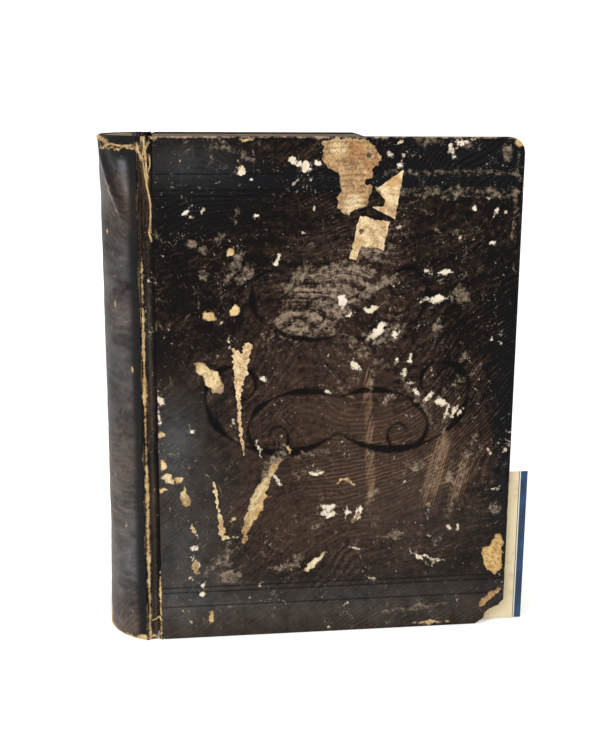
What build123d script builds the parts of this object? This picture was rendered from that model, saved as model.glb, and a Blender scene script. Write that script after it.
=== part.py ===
from build123d import *
from math import asin, cos, degrees, radians, sin, sqrt
import os

os.makedirs("parts", exist_ok=True)

# An old household cookbook standing on its tail edges.
# X runs along the covers from the spine to the fore edge, Y from the front cover to the rear
# cover, Z up from the table. The origin is the middle of the book's footprint.

# Overall sizes in millimetres
book_height = 254.0
board_width = 180.3  # from a cover's spine-side edge to its fore edge
book_thickness = 59.5  # outside to outside of the two covers
spine_reach = 26.1  # how far the back stands past the covers' spine-side edges

# Covers
board_thickness = 2.6
leather_thickness = 0.7
turn_in_width = 15.0
pastedown_thickness = 0.2
pastedown_margin = 3.0  # leather left bare round the pastedown
corner_radius = 8.0
worn_corner_radius = 5.0

# Joints between the covers and the back
joint_width = 7.0  # from the shoulder of the back to the cover's edge
joint_hollow = 1.65  # depth of the groove
joint_end_gap = 0.4
shoulder_drop = 0.3  # the back stays this far inside the covers' outer faces

# Back of the book, from the outside in
inlay_thickness = 0.5
hollow_gap = 0.5
lining_thickness = 0.3
mull_thickness = 0.4
glue_gap = 0.05  # between curved layers of the back
spine_turn_in = 12.0
inlay_half_angle = 60.0
lining_half_angle = 58.0
mull_half_angle = 61.0

# Pages
head_square = 2.0  # covers past the pages at head and tail
fore_square = 3.0  # covers past the pages at the fore edge
block_gap = 0.6  # paper slack between a pastedown and its flyleaf
fore_edge_hollow = 7.0
section_count = 18  # gatherings of 32 pages
fold_depth = 0.4
shoulder_flare = 1.8
shoulder_length = 5.0
flyleaf_thickness = 0.15
flyleaf_rise = 1.2  # the loose rear flyleaf stands above the pages
flyleaf_torn_from = 106.0  # from the spine-side edge to where its top is torn away
flyleaf_torn_depth = 3.0

# Sewing and bands
tape_width = 12.0
tape_thickness = 0.4
tape_count = 3
tape_half_angle = 56.0
mull_inset = 12.0
lining_inset = 1.0
band_width = 1.6
band_height = 1.4
band_half_angle = 55.0

# Leaflet tucked under the front cover
leaflet_out = 11.0  # past the fore edge of the covers
leaflet_length = 120.0
leaflet_height = 82.0
leaflet_thickness = 0.35
leaflet_rise = 0.8

# Stuck paper
remnant_thickness = 0.15
sliver_thickness = 0.12

# Blind-stamped lines and ornament
rule_width = 0.8
rule_depth = 0.25
rule_insets = (17.6, 25.3, 28.0)  # from the head and from the tail
scroll_width = 1.6
scroll_depth = 0.3

# Damage to the back: its torn head and the cracked joint
head_tear_reach = 21.0  # from the front cover's face
crack_width = 0.8
crack_long = 48.0
crack_short = 12.0

# Wear on the rear cover's head edge
rear_wear_from = 104.0
rear_wear_depth = 2.0
rear_wear_run = 8.0

# Places in the frame, worked out from the sizes above
overall_length = spine_reach + board_width + leaflet_out
overall_depth = book_thickness + remnant_thickness
back_x = -overall_length / 2
edge_x = back_x + spine_reach  # spine-side edge of both covers
fore_x = edge_x + board_width
front_y = -overall_depth / 2 + remnant_thickness
rear_y = front_y + book_thickness
middle_y = (front_y + rear_y) / 2

# Depths through a cover, counted from its outer face
board_outer = leather_thickness
board_inner = board_outer + board_thickness
turn_in_inner = board_inner + leather_thickness
cover_depth = turn_in_inner + pastedown_thickness
turn_in_start = board_width - turn_in_width
paper_edge = board_width - pastedown_margin

# Radii of the rounded back, all about one axis
back_half_width = book_thickness / 2 - shoulder_drop
back_sagitta = spine_reach - joint_width
back_radius = (back_half_width**2 + back_sagitta**2) / (2 * back_sagitta)
back_centre_x = back_x + back_radius
back_half_angle = degrees(asin(back_half_width / back_radius))
inlay_radius = back_radius - leather_thickness - glue_gap
fold_radius = inlay_radius - inlay_thickness - glue_gap
lining_radius = fold_radius - leather_thickness - hollow_gap
mull_radius = lining_radius - lining_thickness - glue_gap
block_radius = mull_radius - mull_thickness - glue_gap
valley_radius = block_radius - fold_depth
tape_radius = valley_radius - glue_gap
tape_seat_radius = tape_radius - tape_thickness - glue_gap

# The pages
page_low = head_square
page_high = book_height - head_square
page_height = page_high - page_low
block_half = book_thickness / 2 - cover_depth - block_gap - flyleaf_thickness
block_fore_x = fore_x - fore_square
shoulder_half = block_half + shoulder_flare
shoulder_x = back_centre_x - sqrt(valley_radius**2 - shoulder_half**2)

# The groove's strip is part of a ring that lies along the joint
strip_half = joint_width / 2 - joint_end_gap
strip_outer_radius = (strip_half**2 + joint_hollow**2) / (2 * joint_hollow)
strip_inner_radius = strip_outer_radius + leather_thickness
strip_x = edge_x - joint_width / 2
strip_axis_drop = shoulder_drop + joint_hollow - strip_outer_radius


def cover_layer(side, outer, inner):
    """Plane and thickness of a flat layer of a cover between two depths from its outer face."""
    face = front_y if side > 0 else rear_y
    deep = max(face + side * outer, face + side * inner)
    return Plane.XZ.offset(-deep), inner - outer


def on_cover(point):
    """A point given from the cover's spine-side edge and tail, in the frame."""
    return (edge_x + point[0], point[1])


def on_ring(radius, angle, centre=(back_centre_x, middle_y)):
    """A point of the back at an angle from its middle, positive towards the rear cover."""
    turn = radians(angle)
    return (centre[0] - radius * cos(turn), centre[1] + radius * sin(turn))


def band(radius, thickness, half_angle):
    """Sketch of a curved layer of the back, from the outer radius inwards."""
    inner = radius - thickness
    with BuildSketch() as section:
        with BuildLine():
            ThreePointArc(on_ring(radius, -half_angle), on_ring(radius, 0), on_ring(radius, half_angle))
            Line(on_ring(radius, half_angle), on_ring(inner, half_angle))
            ThreePointArc(on_ring(inner, half_angle), on_ring(inner, 0), on_ring(inner, -half_angle))
            Line(on_ring(inner, -half_angle), on_ring(radius, -half_angle))
        make_face()
    return section.sketch


def sheet_outline(points):
    """Sketch of a straight-sided outline on a cover."""
    with BuildSketch() as outline:
        with BuildLine():
            Polyline(*[on_cover(point) for point in points], close=True)
        make_face()
    return outline.sketch


def placed(points, from_fore=False, from_head=False):
    """Points measured from the spine-side edge or the fore edge, and from the tail or the head."""
    return tuple(
        (board_width - along if from_fore else along, book_height - up if from_head else up)
        for along, up in points
    )


# Outlines of the damage and of the stuck paper on the front cover
past_edge = -1.0
broken_corner = placed(
    ((past_edge, 14.0), (2.8, 10.3), (7.3, 8.2), (9.7, 6.6), (11.7, 2.4), (17.8, past_edge),
     (past_edge, past_edge)),
    from_fore=True,
)
fore_chips = (
    ((6.4, 51.5), (3.1, 50.6), (1.8, 46.0), (2.1, 31.0), (5.7, 27.6), (10.1, 29.5), (12.9, 37.0),
     (12.5, 42.8), (8.9, 44.6), (7.7, 47.6)),
    ((3.5, 21.0), (2.3, 18.6), (10.3, 9.8), (13.5, 10.2), (11.9, 14.4)),
)
spine_side_chips = (
    ((12.4, 83.4), (14.0, 79.0), (15.8, 71.8), (10.2, 72.4), (10.8, 78.0)),
    ((16.8, 146.2), (23.0, 145.0), (29.8, 139.6), (33.0, 130.2), (27.6, 129.4), (22.6, 137.0)),
    ((2.0, 91.4), (6.2, 89.0), (7.6, 83.4), (4.0, 84.2), (1.6, 87.0)),
    ((16.0, 63.6), (18.2, 60.6), (17.4, 57.0), (15.0, 59.4)),
    ((16.2, 44.6), (19.2, 41.8), (19.8, 35.0), (17.2, 34.4), (16.0, 39.0)),
    ((58.8, 95.8), (61.2, 95.0), (52.2, 76.0), (45.6, 63.0), (44.0, 52.0), (42.2, 52.4), (43.4, 63.0),
     (46.8, 76.4), (53.4, 86.0)),
    ((83.6, 45.0), (86.0, 44.4), (75.6, 33.4), (73.0, 34.0), (76.4, 38.6)),
    ((101.0, 66.0), (102.4, 64.8), (99.0, 58.2), (97.0, 59.0)),
)
leather_chips = [placed(chip, from_fore=True) for chip in fore_chips] + list(spine_side_chips)
newsprint_patch_outline = placed(
    ((80.6, 6.2), (80.8, 2.0), (87.0, 0.8), (95.0, 1.2), (102.6, 1.8), (105.6, 5.0), (109.2, 9.2),
     (107.8, 12.8), (105.0, 15.4), (106.0, 18.8), (101.6, 21.0), (102.4, 22.6), (104.4, 23.4),
     (103.8, 27.2), (101.8, 33.4), (97.6, 35.0), (91.8, 37.0), (88.2, 34.0), (88.2, 28.4),
     (89.6, 25.4), (88.2, 17.4), (83.8, 14.8), (80.8, 12.6)),
    from_head=True,
)
patch_hole = placed(((103.5, 9.5),), from_head=True)[0]
patch_hole_radius = 1.0
newsprint_kite_outline = placed(
    ((120.2, 15.6), (106.4, 25.0), (111.4, 30.0), (110.6, 33.2), (105.2, 33.4), (114.4, 38.4), (116.4, 39.4)),
    from_head=True,
)
newsprint_strip_outline = placed(
    ((99.2, 37.6), (103.6, 38.2), (106.0, 39.6), (114.2, 40.4), (112.4, 47.6), (111.0, 54.0), (102.2, 52.6),
     (100.0, 52.0), (97.4, 59.0), (94.4, 58.2), (96.4, 50.4), (97.2, 44.0)),
    from_head=True,
)
head_tear = placed(
    ((-25.0, -2.0), (-23.6, 3.4), (-20.8, 6.0), (-17.8, 4.6), (-13.6, 4.4), (-10.8, 5.6), (-9.4, 3.4),
     (-5.0, 3.2), (-5.0, -2.0)),
    from_head=True,
)
upper_sliver_outline = (
    (37.0, 152.6), (41.6, 149.8), (43.0, 154.8), (46.8, 153.6), (45.0, 147.0), (44.8, 139.8), (42.0, 134.0),
    (40.8, 124.0), (42.0, 110.0), (43.0, 98.0), (42.2, 97.6), (40.4, 110.0), (39.0, 124.0), (37.6, 140.0),
)
lower_sliver_outline = (
    (26.8, 84.4), (27.8, 84.0), (30.4, 68.0), (32.6, 60.0), (32.4, 55.6), (34.6, 54.0), (30.8, 53.4),
    (29.6, 60.0), (29.0, 68.0),
)

# The stamped ornament: scrolls that leave the cover's middle line, each a run of tangent arcs.
# A scroll has its height on that line above the cover's middle, its first heading, and each arc's
# radius and turn.
scrolls = (
    (-19.0, -38.0, ((46.0, 70.0), (30.0, 48.0), (15.0, 110.0), (9.0, 120.0), (5.0, 140.0))),
    (-1.0, 25.0, ((40.0, -50.0), (22.0, -40.0), (12.0, -130.0), (7.0, -130.0), (4.0, -130.0))),
    (31.0, -20.0, ((38.0, 60.0), (17.0, 75.0), (10.0, 110.0), (6.0, 130.0))),
    (45.0, 60.0, ((10.0, -110.0), (6.0, -140.0), (3.5, -140.0))),
)


# Shapes that both covers share

def upright_rectangle(left, right, low, high):
    """Sketch of a rectangle on a cover, given from its spine-side edge and tail."""
    return sheet_outline(((left, low), (right, low), (right, high), (left, high)))


def cover_outline(inset, head_wear):
    """Sketch of a cover: square at the spine side, rounded at the fore edge, worn down along its head."""
    left, right = inset, board_width - inset
    low, high = inset, book_height - inset
    worn = high - head_wear
    top, foot = corner_radius - inset, worn_corner_radius - inset
    with BuildSketch() as outline:
        with BuildLine():
            Line(on_cover((right, low + foot)), on_cover((right, worn - top)))
            TangentArc(on_cover((right, worn - top)), on_cover((right - top, worn)), tangent=(0, 1))
            Polyline(
                on_cover((right - top, worn)),
                on_cover((rear_wear_from + rear_wear_run, worn)),
                on_cover((rear_wear_from, high)),
                on_cover((left, high)),
                on_cover((left, low)),
                on_cover((right - foot, low)),
            )
            TangentArc(on_cover((right - foot, low)), on_cover((right, low + foot)), tangent=(1, 0))
        make_face()
    return outline.sketch


def leather_skin(side, head_wear):
    """Cover leather: outer skin, wrapped edges and turn-ins round the board."""
    with BuildPart() as skin:
        plane, depth = cover_layer(side, 0, turn_in_inner)
        with BuildSketch(plane):
            add(cover_outline(0, head_wear))
        extrude(amount=depth)
        plane, depth = cover_layer(side, board_outer, board_inner)
        with BuildSketch(plane):
            add(cover_outline(leather_thickness, head_wear))
        extrude(amount=depth, mode=Mode.SUBTRACT)
        plane, depth = cover_layer(side, board_inner, turn_in_inner)
        with BuildSketch(plane):
            add(upright_rectangle(-1, turn_in_start, turn_in_width, book_height - turn_in_width))
        extrude(amount=depth, mode=Mode.SUBTRACT)
    return skin.part


def cover_board(side, head_wear):
    """The pasteboard inside the leather."""
    plane, depth = cover_layer(side, board_outer, board_inner)
    with BuildPart() as board:
        with BuildSketch(plane):
            add(cover_outline(leather_thickness, head_wear))
        extrude(amount=depth)
    return board.part


def pasted_paper(side):
    """Pastedown: it lies over the turn-ins and follows them down on to the board."""
    dish = turn_in_width + pastedown_thickness
    paper = upright_rectangle(leather_thickness, paper_edge, pastedown_margin, book_height - pastedown_margin)
    with BuildPart() as sheet:
        plane, depth = cover_layer(side, board_inner, cover_depth)
        with BuildSketch(plane):
            add(paper)
        extrude(amount=depth)
        plane, depth = cover_layer(side, board_inner, turn_in_inner)
        with BuildSketch(plane):
            add(paper)
            add(
                upright_rectangle(0, turn_in_start, turn_in_width, book_height - turn_in_width),
                mode=Mode.SUBTRACT,
            )
        extrude(amount=depth, mode=Mode.SUBTRACT)
        plane, depth = cover_layer(side, board_inner + pastedown_thickness, cover_depth)
        with BuildSketch(plane):
            add(upright_rectangle(0, board_width - dish, dish, book_height - dish))
        extrude(amount=depth, mode=Mode.SUBTRACT)
    return sheet.part


def lost_corner():
    """The fore corner broken away at the tail of the front cover, as a solid to take out."""
    with BuildPart() as corner:
        with BuildSketch(Plane.XZ.offset(-front_y)):
            add(sheet_outline(broken_corner))
        extrude(amount=2 * cover_depth, both=True)
    return corner.part


# Front cover

corner_loss = lost_corner()

with BuildPart() as front_board:
    add(cover_board(1, 0))
    add(corner_loss, mode=Mode.SUBTRACT)
front_board.part.label = "front_board"

with BuildPart() as front_cover_leather:
    add(leather_skin(1, 0))
    add(corner_loss, mode=Mode.SUBTRACT)
    # Chips through the outer skin show the board
    plane, depth = cover_layer(1, 0, board_outer)
    with BuildSketch(plane):
        for outline in leather_chips:
            add(sheet_outline(outline))
    extrude(amount=depth, mode=Mode.SUBTRACT)
    # Blind lines across the head and the tail
    plane, depth = cover_layer(1, 0, rule_depth)
    with BuildSketch(plane):
        for inset in rule_insets:
            for height in (inset, book_height - inset):
                add(upright_rectangle(0, board_width, height - rule_width / 2, height + rule_width / 2))
    extrude(amount=depth, mode=Mode.SUBTRACT)
    # Stamped scrolls, the same on both sides of the middle line
    plane, depth = cover_layer(1, 0, scroll_depth)
    with BuildSketch(plane):
        for hand in (1, -1):
            for rise, heading, arcs in scrolls:
                with BuildLine():
                    start = on_cover((board_width / 2, book_height / 2 + rise))
                    tangent = (hand * cos(radians(heading)), sin(radians(heading)))
                    for radius, turn in arcs:
                        stroke = JernArc(start, tangent, radius, hand * turn)
                        start, tangent = stroke @ 1, stroke % 1
                trace(line_width=scroll_width)
    extrude(amount=depth, mode=Mode.SUBTRACT)
front_cover_leather.part.label = "front_cover_leather"

with BuildPart() as front_pastedown:
    add(pasted_paper(1))
    add(corner_loss, mode=Mode.SUBTRACT)
front_pastedown.part.label = "front_pastedown"


# Paper stuck to the front cover

remnants = {
    "newsprint_patch": (newsprint_patch_outline, remnant_thickness),
    "newsprint_kite": (newsprint_kite_outline, remnant_thickness),
    "newsprint_strip": (newsprint_strip_outline, remnant_thickness),
    "paper_sliver_upper": (upper_sliver_outline, sliver_thickness),
    "paper_sliver_lower": (lower_sliver_outline, sliver_thickness),
}
stuck_papers = []
for name, (outline, thickness) in remnants.items():
    with BuildPart() as stuck_paper:
        with BuildSketch(Plane.XZ.offset(-front_y)):
            add(sheet_outline(outline))
            if name == "newsprint_patch":
                with Locations(on_cover(patch_hole)):
                    Circle(patch_hole_radius, mode=Mode.SUBTRACT)
        extrude(amount=thickness)
    stuck_paper.part.label = name
    stuck_papers.append(stuck_paper.part)


# Rear cover

with BuildPart() as rear_board:
    add(cover_board(-1, rear_wear_depth))
rear_board.part.label = "rear_board"

with BuildPart() as rear_cover_leather:
    add(leather_skin(-1, rear_wear_depth))
rear_cover_leather.part.label = "rear_cover_leather"

with BuildPart() as rear_pastedown:
    add(pasted_paper(-1))
rear_pastedown.part.label = "rear_pastedown"


# Pages, with their folds rounded into a back and hollowed at the fore edge

fold_half_angle = degrees(asin(shoulder_half / valley_radius))
fold_step = 2 * fold_half_angle / section_count
flank_x = shoulder_x + shoulder_length

with BuildPart() as text_block:
    with BuildSketch(Plane.XY.offset(page_low)):
        with BuildLine():
            for fold in range(section_count):
                first = fold * fold_step - fold_half_angle
                ThreePointArc(
                    on_ring(valley_radius, first),
                    on_ring(block_radius, first + fold_step / 2),
                    on_ring(valley_radius, first + fold_step),
                )
            for side in (1, -1):
                TangentArc(
                    (flank_x, middle_y + side * block_half),
                    on_ring(valley_radius, side * fold_half_angle),
                    tangent=(-1, 0),
                )
                Line((flank_x, middle_y + side * block_half), (block_fore_x, middle_y + side * block_half))
            ThreePointArc(
                (block_fore_x, middle_y - block_half),
                (block_fore_x - fore_edge_hollow, middle_y),
                (block_fore_x, middle_y + block_half),
            )
        make_face()
    extrude(amount=page_height)
    # Seats for the tapes across the folds
    tape_pitch = page_height / (tape_count + 1)
    tape_lows = [page_low + tape_pitch * (tape + 1) - tape_width / 2 for tape in range(tape_count)]
    for low in tape_lows:
        with BuildSketch(Plane.XY.offset(low - glue_gap)):
            add(band(mull_radius, mull_radius - tape_seat_radius, tape_half_angle + 1))
        extrude(amount=tape_width + 2 * glue_gap, mode=Mode.SUBTRACT)
text_block.part.label = "text_block"

tapes = []
for place, low in zip(("tail", "middle", "head"), tape_lows):
    with BuildPart() as tape:
        with BuildSketch(Plane.XY.offset(low)):
            add(band(tape_radius, tape_thickness, tape_half_angle))
        extrude(amount=tape_width)
    tape.part.label = f"sewing_tape_{place}"
    tapes.append(tape.part)

with BuildPart() as mull:
    with BuildSketch(Plane.XY.offset(page_low + mull_inset)):
        add(band(mull_radius, mull_thickness, mull_half_angle))
    extrude(amount=page_height - 2 * mull_inset)
mull.part.label = "mull_lining"

with BuildPart() as spine_lining:
    with BuildSketch(Plane.XY.offset(page_low + lining_inset)):
        add(band(lining_radius, lining_thickness, lining_half_angle))
    extrude(amount=page_height - 2 * lining_inset)
spine_lining.part.label = "spine_lining"

bands = []
for name, low, outer in (
    ("head_band", page_high + glue_gap, -1),
    ("tail_band", page_low - band_height - glue_gap, 0),
):
    with BuildPart() as end_band:
        with BuildSketch(Plane.XY.offset(low)):
            add(band(valley_radius, band_width, band_half_angle))
        extrude(amount=band_height)
        # The bead is rounded off on the side that shows
        bead_end = end_band.faces().sort_by(Axis.Z)[outer]
        chamfer(bead_end.edges().filter_by(GeomType.CIRCLE), length=band_width / 4)
    end_band.part.label = name
    bands.append(end_band.part)


# Flyleaves and the tucked leaflet

flank_start = flank_x - edge_x
page_fore = board_width - fore_square

with BuildPart() as front_flyleaf:
    with BuildSketch(Plane.XZ.offset(block_half - middle_y)):
        add(upright_rectangle(flank_start, page_fore, page_low, page_high))
    extrude(amount=flyleaf_thickness)
front_flyleaf.part.label = "front_flyleaf"

with BuildPart() as rear_flyleaf:
    with BuildSketch(Plane.XZ.offset(-block_half - middle_y)):
        add(sheet_outline((
            (flank_start, page_low),
            (flank_start, page_high + flyleaf_rise),
            (flyleaf_torn_from, page_high + flyleaf_rise),
            (flyleaf_torn_from + flyleaf_torn_depth, page_high),
            (flyleaf_torn_from + 3 * flyleaf_torn_depth, page_high - flyleaf_torn_depth / 2),
            (page_fore - flyleaf_torn_depth, page_high - flyleaf_torn_depth),
            (page_fore, page_high - 3 * flyleaf_torn_depth),
            (page_fore, page_low),
        )))
    extrude(amount=-flyleaf_thickness)
rear_flyleaf.part.label = "rear_flyleaf"

with BuildPart() as tucked_leaflet:
    with BuildSketch(Plane.XZ.offset(block_half + flyleaf_thickness - middle_y)):
        add(upright_rectangle(
            board_width + leaflet_out - leaflet_length, board_width + leaflet_out,
            leaflet_rise, leaflet_rise + leaflet_height,
        ))
    extrude(amount=leaflet_thickness)
tucked_leaflet.part.label = "tucked_leaflet"


# Back of the book

with BuildPart() as spine_leather:
    with BuildSketch():
        add(band(back_radius, leather_thickness, back_half_angle))
    extrude(amount=book_height)
    # At the tail and at the head the leather folds over the inlay's end and runs back inside it
    fold_depth_in = back_radius - fold_radius + leather_thickness
    for fold_low, flap_low in ((0, 0), (book_height - leather_thickness, book_height - spine_turn_in)):
        with BuildSketch(Plane.XY.offset(fold_low)):
            add(band(back_radius, fold_depth_in, inlay_half_angle))
        extrude(amount=leather_thickness)
        with BuildSketch(Plane.XY.offset(flap_low)):
            add(band(fold_radius, leather_thickness, inlay_half_angle))
        extrude(amount=spine_turn_in)
    # Torn away at the head, on the side towards the front cover
    with BuildSketch(Plane.XZ.offset(-front_y)):
        add(sheet_outline(head_tear))
    extrude(amount=-head_tear_reach, mode=Mode.SUBTRACT)
spine_leather.part.label = "spine_leather"

with BuildPart() as spine_inlay:
    with BuildSketch(Plane.XY.offset(leather_thickness + glue_gap)):
        add(band(inlay_radius, inlay_thickness, inlay_half_angle))
    extrude(amount=book_height - 2 * (leather_thickness + glue_gap))
spine_inlay.part.label = "spine_inlay"

joint_leathers = []
for name, side in (("front_joint_leather", 1), ("rear_joint_leather", -1)):
    face = front_y if side > 0 else rear_y
    axis_y = face + side * strip_axis_drop
    with BuildPart() as joint_leather:
        with BuildSketch(Plane.XY):
            with Locations((strip_x, axis_y)):
                Circle(strip_inner_radius)
                Circle(strip_outer_radius, mode=Mode.SUBTRACT)
            with Locations((strip_x, axis_y + side * strip_inner_radius)):
                Rectangle(2 * strip_half, 2 * strip_inner_radius, mode=Mode.INTERSECT)
        extrude(amount=book_height)
        if side > 0:
            # The old leather has cracked along the groove from both ends
            with BuildSketch(Plane.XZ.offset(-face)):
                with Locations((strip_x, book_height), (strip_x, 0)):
                    Rectangle(crack_width, 2 * crack_short)
                with Locations((strip_x, book_height)):
                    Rectangle(crack_width, 2 * crack_long)
            extrude(amount=-cover_depth, mode=Mode.SUBTRACT)
    joint_leather.part.label = name
    joint_leathers.append(joint_leather.part)


# Write every piece

pieces = [
    text_block.part, *tapes, mull.part, spine_lining.part, *bands, front_flyleaf.part, rear_flyleaf.part,
    tucked_leaflet.part, spine_leather.part, spine_inlay.part, *joint_leathers,
    front_board.part, front_cover_leather.part, front_pastedown.part, *stuck_papers,
    rear_board.part, rear_cover_leather.part, rear_pastedown.part,
]
for piece in pieces:
    export_step(piece, f"parts/{piece.label}.step")
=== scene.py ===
"""The looks of an old household cookbook in worn leather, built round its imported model."""

from __future__ import annotations

import logging
import math
from dataclasses import dataclass
from enum import Enum

import bmesh
import bpy
import numpy as np
from mathutils import Matrix, Vector


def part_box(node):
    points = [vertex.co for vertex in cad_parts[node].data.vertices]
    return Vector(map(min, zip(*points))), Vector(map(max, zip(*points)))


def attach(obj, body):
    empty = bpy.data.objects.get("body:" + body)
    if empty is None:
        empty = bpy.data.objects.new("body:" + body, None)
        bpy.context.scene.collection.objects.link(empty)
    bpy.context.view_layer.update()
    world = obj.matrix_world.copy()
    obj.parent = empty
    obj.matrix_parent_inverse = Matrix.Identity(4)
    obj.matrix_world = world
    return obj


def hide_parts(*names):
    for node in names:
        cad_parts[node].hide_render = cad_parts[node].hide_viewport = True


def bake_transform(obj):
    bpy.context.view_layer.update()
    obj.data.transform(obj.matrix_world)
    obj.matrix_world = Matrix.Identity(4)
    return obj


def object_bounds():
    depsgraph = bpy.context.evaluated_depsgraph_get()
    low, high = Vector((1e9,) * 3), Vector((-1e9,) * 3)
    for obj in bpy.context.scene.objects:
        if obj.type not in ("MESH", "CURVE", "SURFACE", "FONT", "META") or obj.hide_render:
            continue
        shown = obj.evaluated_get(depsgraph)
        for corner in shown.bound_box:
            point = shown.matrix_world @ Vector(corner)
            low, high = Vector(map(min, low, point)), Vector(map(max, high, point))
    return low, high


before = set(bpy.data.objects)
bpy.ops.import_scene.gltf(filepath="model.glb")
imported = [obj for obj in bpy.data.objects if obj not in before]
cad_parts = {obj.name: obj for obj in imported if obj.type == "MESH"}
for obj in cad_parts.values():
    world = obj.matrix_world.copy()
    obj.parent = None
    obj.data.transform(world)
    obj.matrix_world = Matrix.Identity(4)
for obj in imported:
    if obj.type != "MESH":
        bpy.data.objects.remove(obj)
cad_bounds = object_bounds()

log = logging.getLogger("cookbook")

Array = np.ndarray
Ink = tuple[float, float, float, float]
Material = bpy.types.Material
Mesh = bpy.types.Mesh
Object = bpy.types.Object
Socket = bpy.types.NodeSocket

MM = 0.001
UNMARKED = 4.0
BOOK, FRONT, REAR = "book_block", "front_cover", "rear_cover"


def linear(colour: str) -> Ink:
    """Turn an sRGB hex colour into a linear one.

    Args:
        colour: The colour as "#rrggbb".

    Returns:
        Linear red, green and blue, and an alpha of one.
    """
    shares = [int(colour[at:at + 2], 16) / 255 for at in (1, 3, 5)]
    red, green, blue = (s / 12.92 if s <= 0.04045 else ((s + 0.055) / 1.055) ** 2.4 for s in shares)
    return red, green, blue, 1.0


def value_noise(points: Array, pitch: float, seed: int) -> Array:
    """Smooth noise that is the same on every run.

    Args:
        points: Places as rows of two millimetre coordinates.
        pitch: Distance between the noise's own points, in millimetres.
        seed: Picks one of many such surfaces.

    Returns:
        One value from -1 to 1 for each place.
    """
    cells = 64
    lattice = np.random.default_rng(seed).uniform(-1, 1, (cells, cells))
    spot = points / pitch + cells * 16
    low = np.floor(spot).astype(int)
    part = spot - low
    part = part * part * (3 - 2 * part)
    column, row = low[:, 0] % cells, low[:, 1] % cells
    right, above = (column + 1) % cells, (row + 1) % cells
    lower = lattice[column, row] * (1 - part[:, 0]) + lattice[right, row] * part[:, 0]
    upper = lattice[column, above] * (1 - part[:, 0]) + lattice[right, above] * part[:, 0]
    return lower * (1 - part[:, 1]) + upper * part[:, 1]


def ease(value: Array, low: float | Array, high: float | Array) -> Array:
    """Go smoothly from 0 at low to 1 at high."""
    share = np.clip((value - low) / (high - low), 0, 1)
    return share * share * (3 - 2 * share)


def path_distance(points: Array, path: Array, halves: Array) -> Array:
    """Distance to the edge of a stroke whose width changes along it.

    Args:
        points: Places as rows of two coordinates.
        path: The stroke's middle line, as rows of two coordinates.
        halves: Half the stroke's width at each point of the path.

    Returns:
        The distance to the stroke's edge, less than zero inside it.
    """
    nearest = np.full(len(points), np.inf)
    for start, end, first, last in zip(path[:-1], path[1:], halves[:-1], halves[1:]):
        run = end - start
        share = np.clip(((points - start) @ run) / max(run @ run, 1e-9), 0, 1)
        away = np.linalg.norm(points - start - share[:, None] * run, axis=1)
        nearest = np.minimum(nearest, away - (first + (last - first) * share))
    return nearest


def ragged(loop: Array, step: float, depth: float, seed: int) -> Array:
    """Break a clean outline into a torn one.

    Args:
        loop: The outline's corners, as rows of two coordinates.
        step: Length of each torn stretch, in millimetres.
        depth: How far the tear strays from the outline, in millimetres.
        seed: Picks one of many tears.

    Returns:
        The torn outline's points.
    """
    torn = []
    for start, end in zip(loop, np.roll(loop, -1, axis=0)):
        parts = max(1, round(float(np.linalg.norm(end - start)) / step))
        torn += [start + (end - start) * part / parts for part in range(parts)]
    outline = np.array(torn)
    ahead = np.roll(outline, -1, axis=0) - np.roll(outline, 1, axis=0)
    across = np.stack([ahead[:, 1], -ahead[:, 0]], axis=1)
    across /= np.maximum(np.linalg.norm(across, axis=1), 1e-9)[:, None]
    stray = value_noise(outline, 3.2 * step, seed) + 0.6 * value_noise(outline, 1.3 * step, seed + 1)
    return outline + across * (depth * stray)[:, None]


@dataclass(frozen=True)
class Places:
    """Where the book's parts lie, in millimetres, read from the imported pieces."""

    edge_x: float
    fore_x: float
    back_x: float
    front_y: float
    rear_y: float
    height: float
    leather: float
    skin_depth: float

    @classmethod
    def read(cls) -> Places:
        """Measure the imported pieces."""
        front_low, front_high = (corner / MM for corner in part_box("front_cover_leather"))
        board_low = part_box("front_board")[0] / MM
        return cls(
            edge_x=front_low.x,
            fore_x=front_high.x,
            back_x=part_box("spine_leather")[0].x / MM,
            front_y=front_low.y,
            rear_y=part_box("rear_cover_leather")[1].y / MM,
            height=front_high.z,
            leather=board_low.y - front_low.y,
            skin_depth=front_high.y - front_low.y,
        )

    @property
    def width(self) -> float:
        """Width of a cover."""
        return self.fore_x - self.edge_x

    @property
    def middle_y(self) -> float:
        """Depth of the book's middle plane."""
        return (self.front_y + self.rear_y) / 2

    def face(self, side: int) -> float:
        """Y of a cover's outer face: side is 1 for the front and -1 for the rear."""
        return self.front_y if side > 0 else self.rear_y

    def on_cover(self, side: int, along: Array, up: Array, depth: Array) -> Array:
        """Put places on a cover into the frame.

        Args:
            side: 1 for the front cover and -1 for the rear one.
            along: Distances from the cover's spine-side edge.
            up: Heights above the tail.
            depth: Depths below the outer face.

        Returns:
            Points of the frame, in millimetres.
        """
        return np.stack([self.edge_x + along, self.face(side) + side * depth, up], axis=-1)


places = Places.read()


def face_loops(node: str, depth: float, side: int = 1) -> list[Array]:
    """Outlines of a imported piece's flat face that lies at a depth in a cover.

    Args:
        node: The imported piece.
        depth: Depth of the flat face below the cover's outer face, in millimetres.
        side: 1 for the front cover and -1 for the rear one.

    Returns:
        Closed outlines, longest first, as rows of distance from the spine-side edge and height.
    """
    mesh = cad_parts[node].data
    plane = (places.face(side) + side * depth) * MM
    near = 0.02 * MM
    keys = {v.index: (round(v.co.x / MM, 3), round(v.co.z / MM, 3)) for v in mesh.vertices}
    flat = [p for p in mesh.polygons if all(abs(mesh.vertices[i].co.y - plane) < near for i in p.vertices)]
    return _chain(flat, keys)


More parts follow.
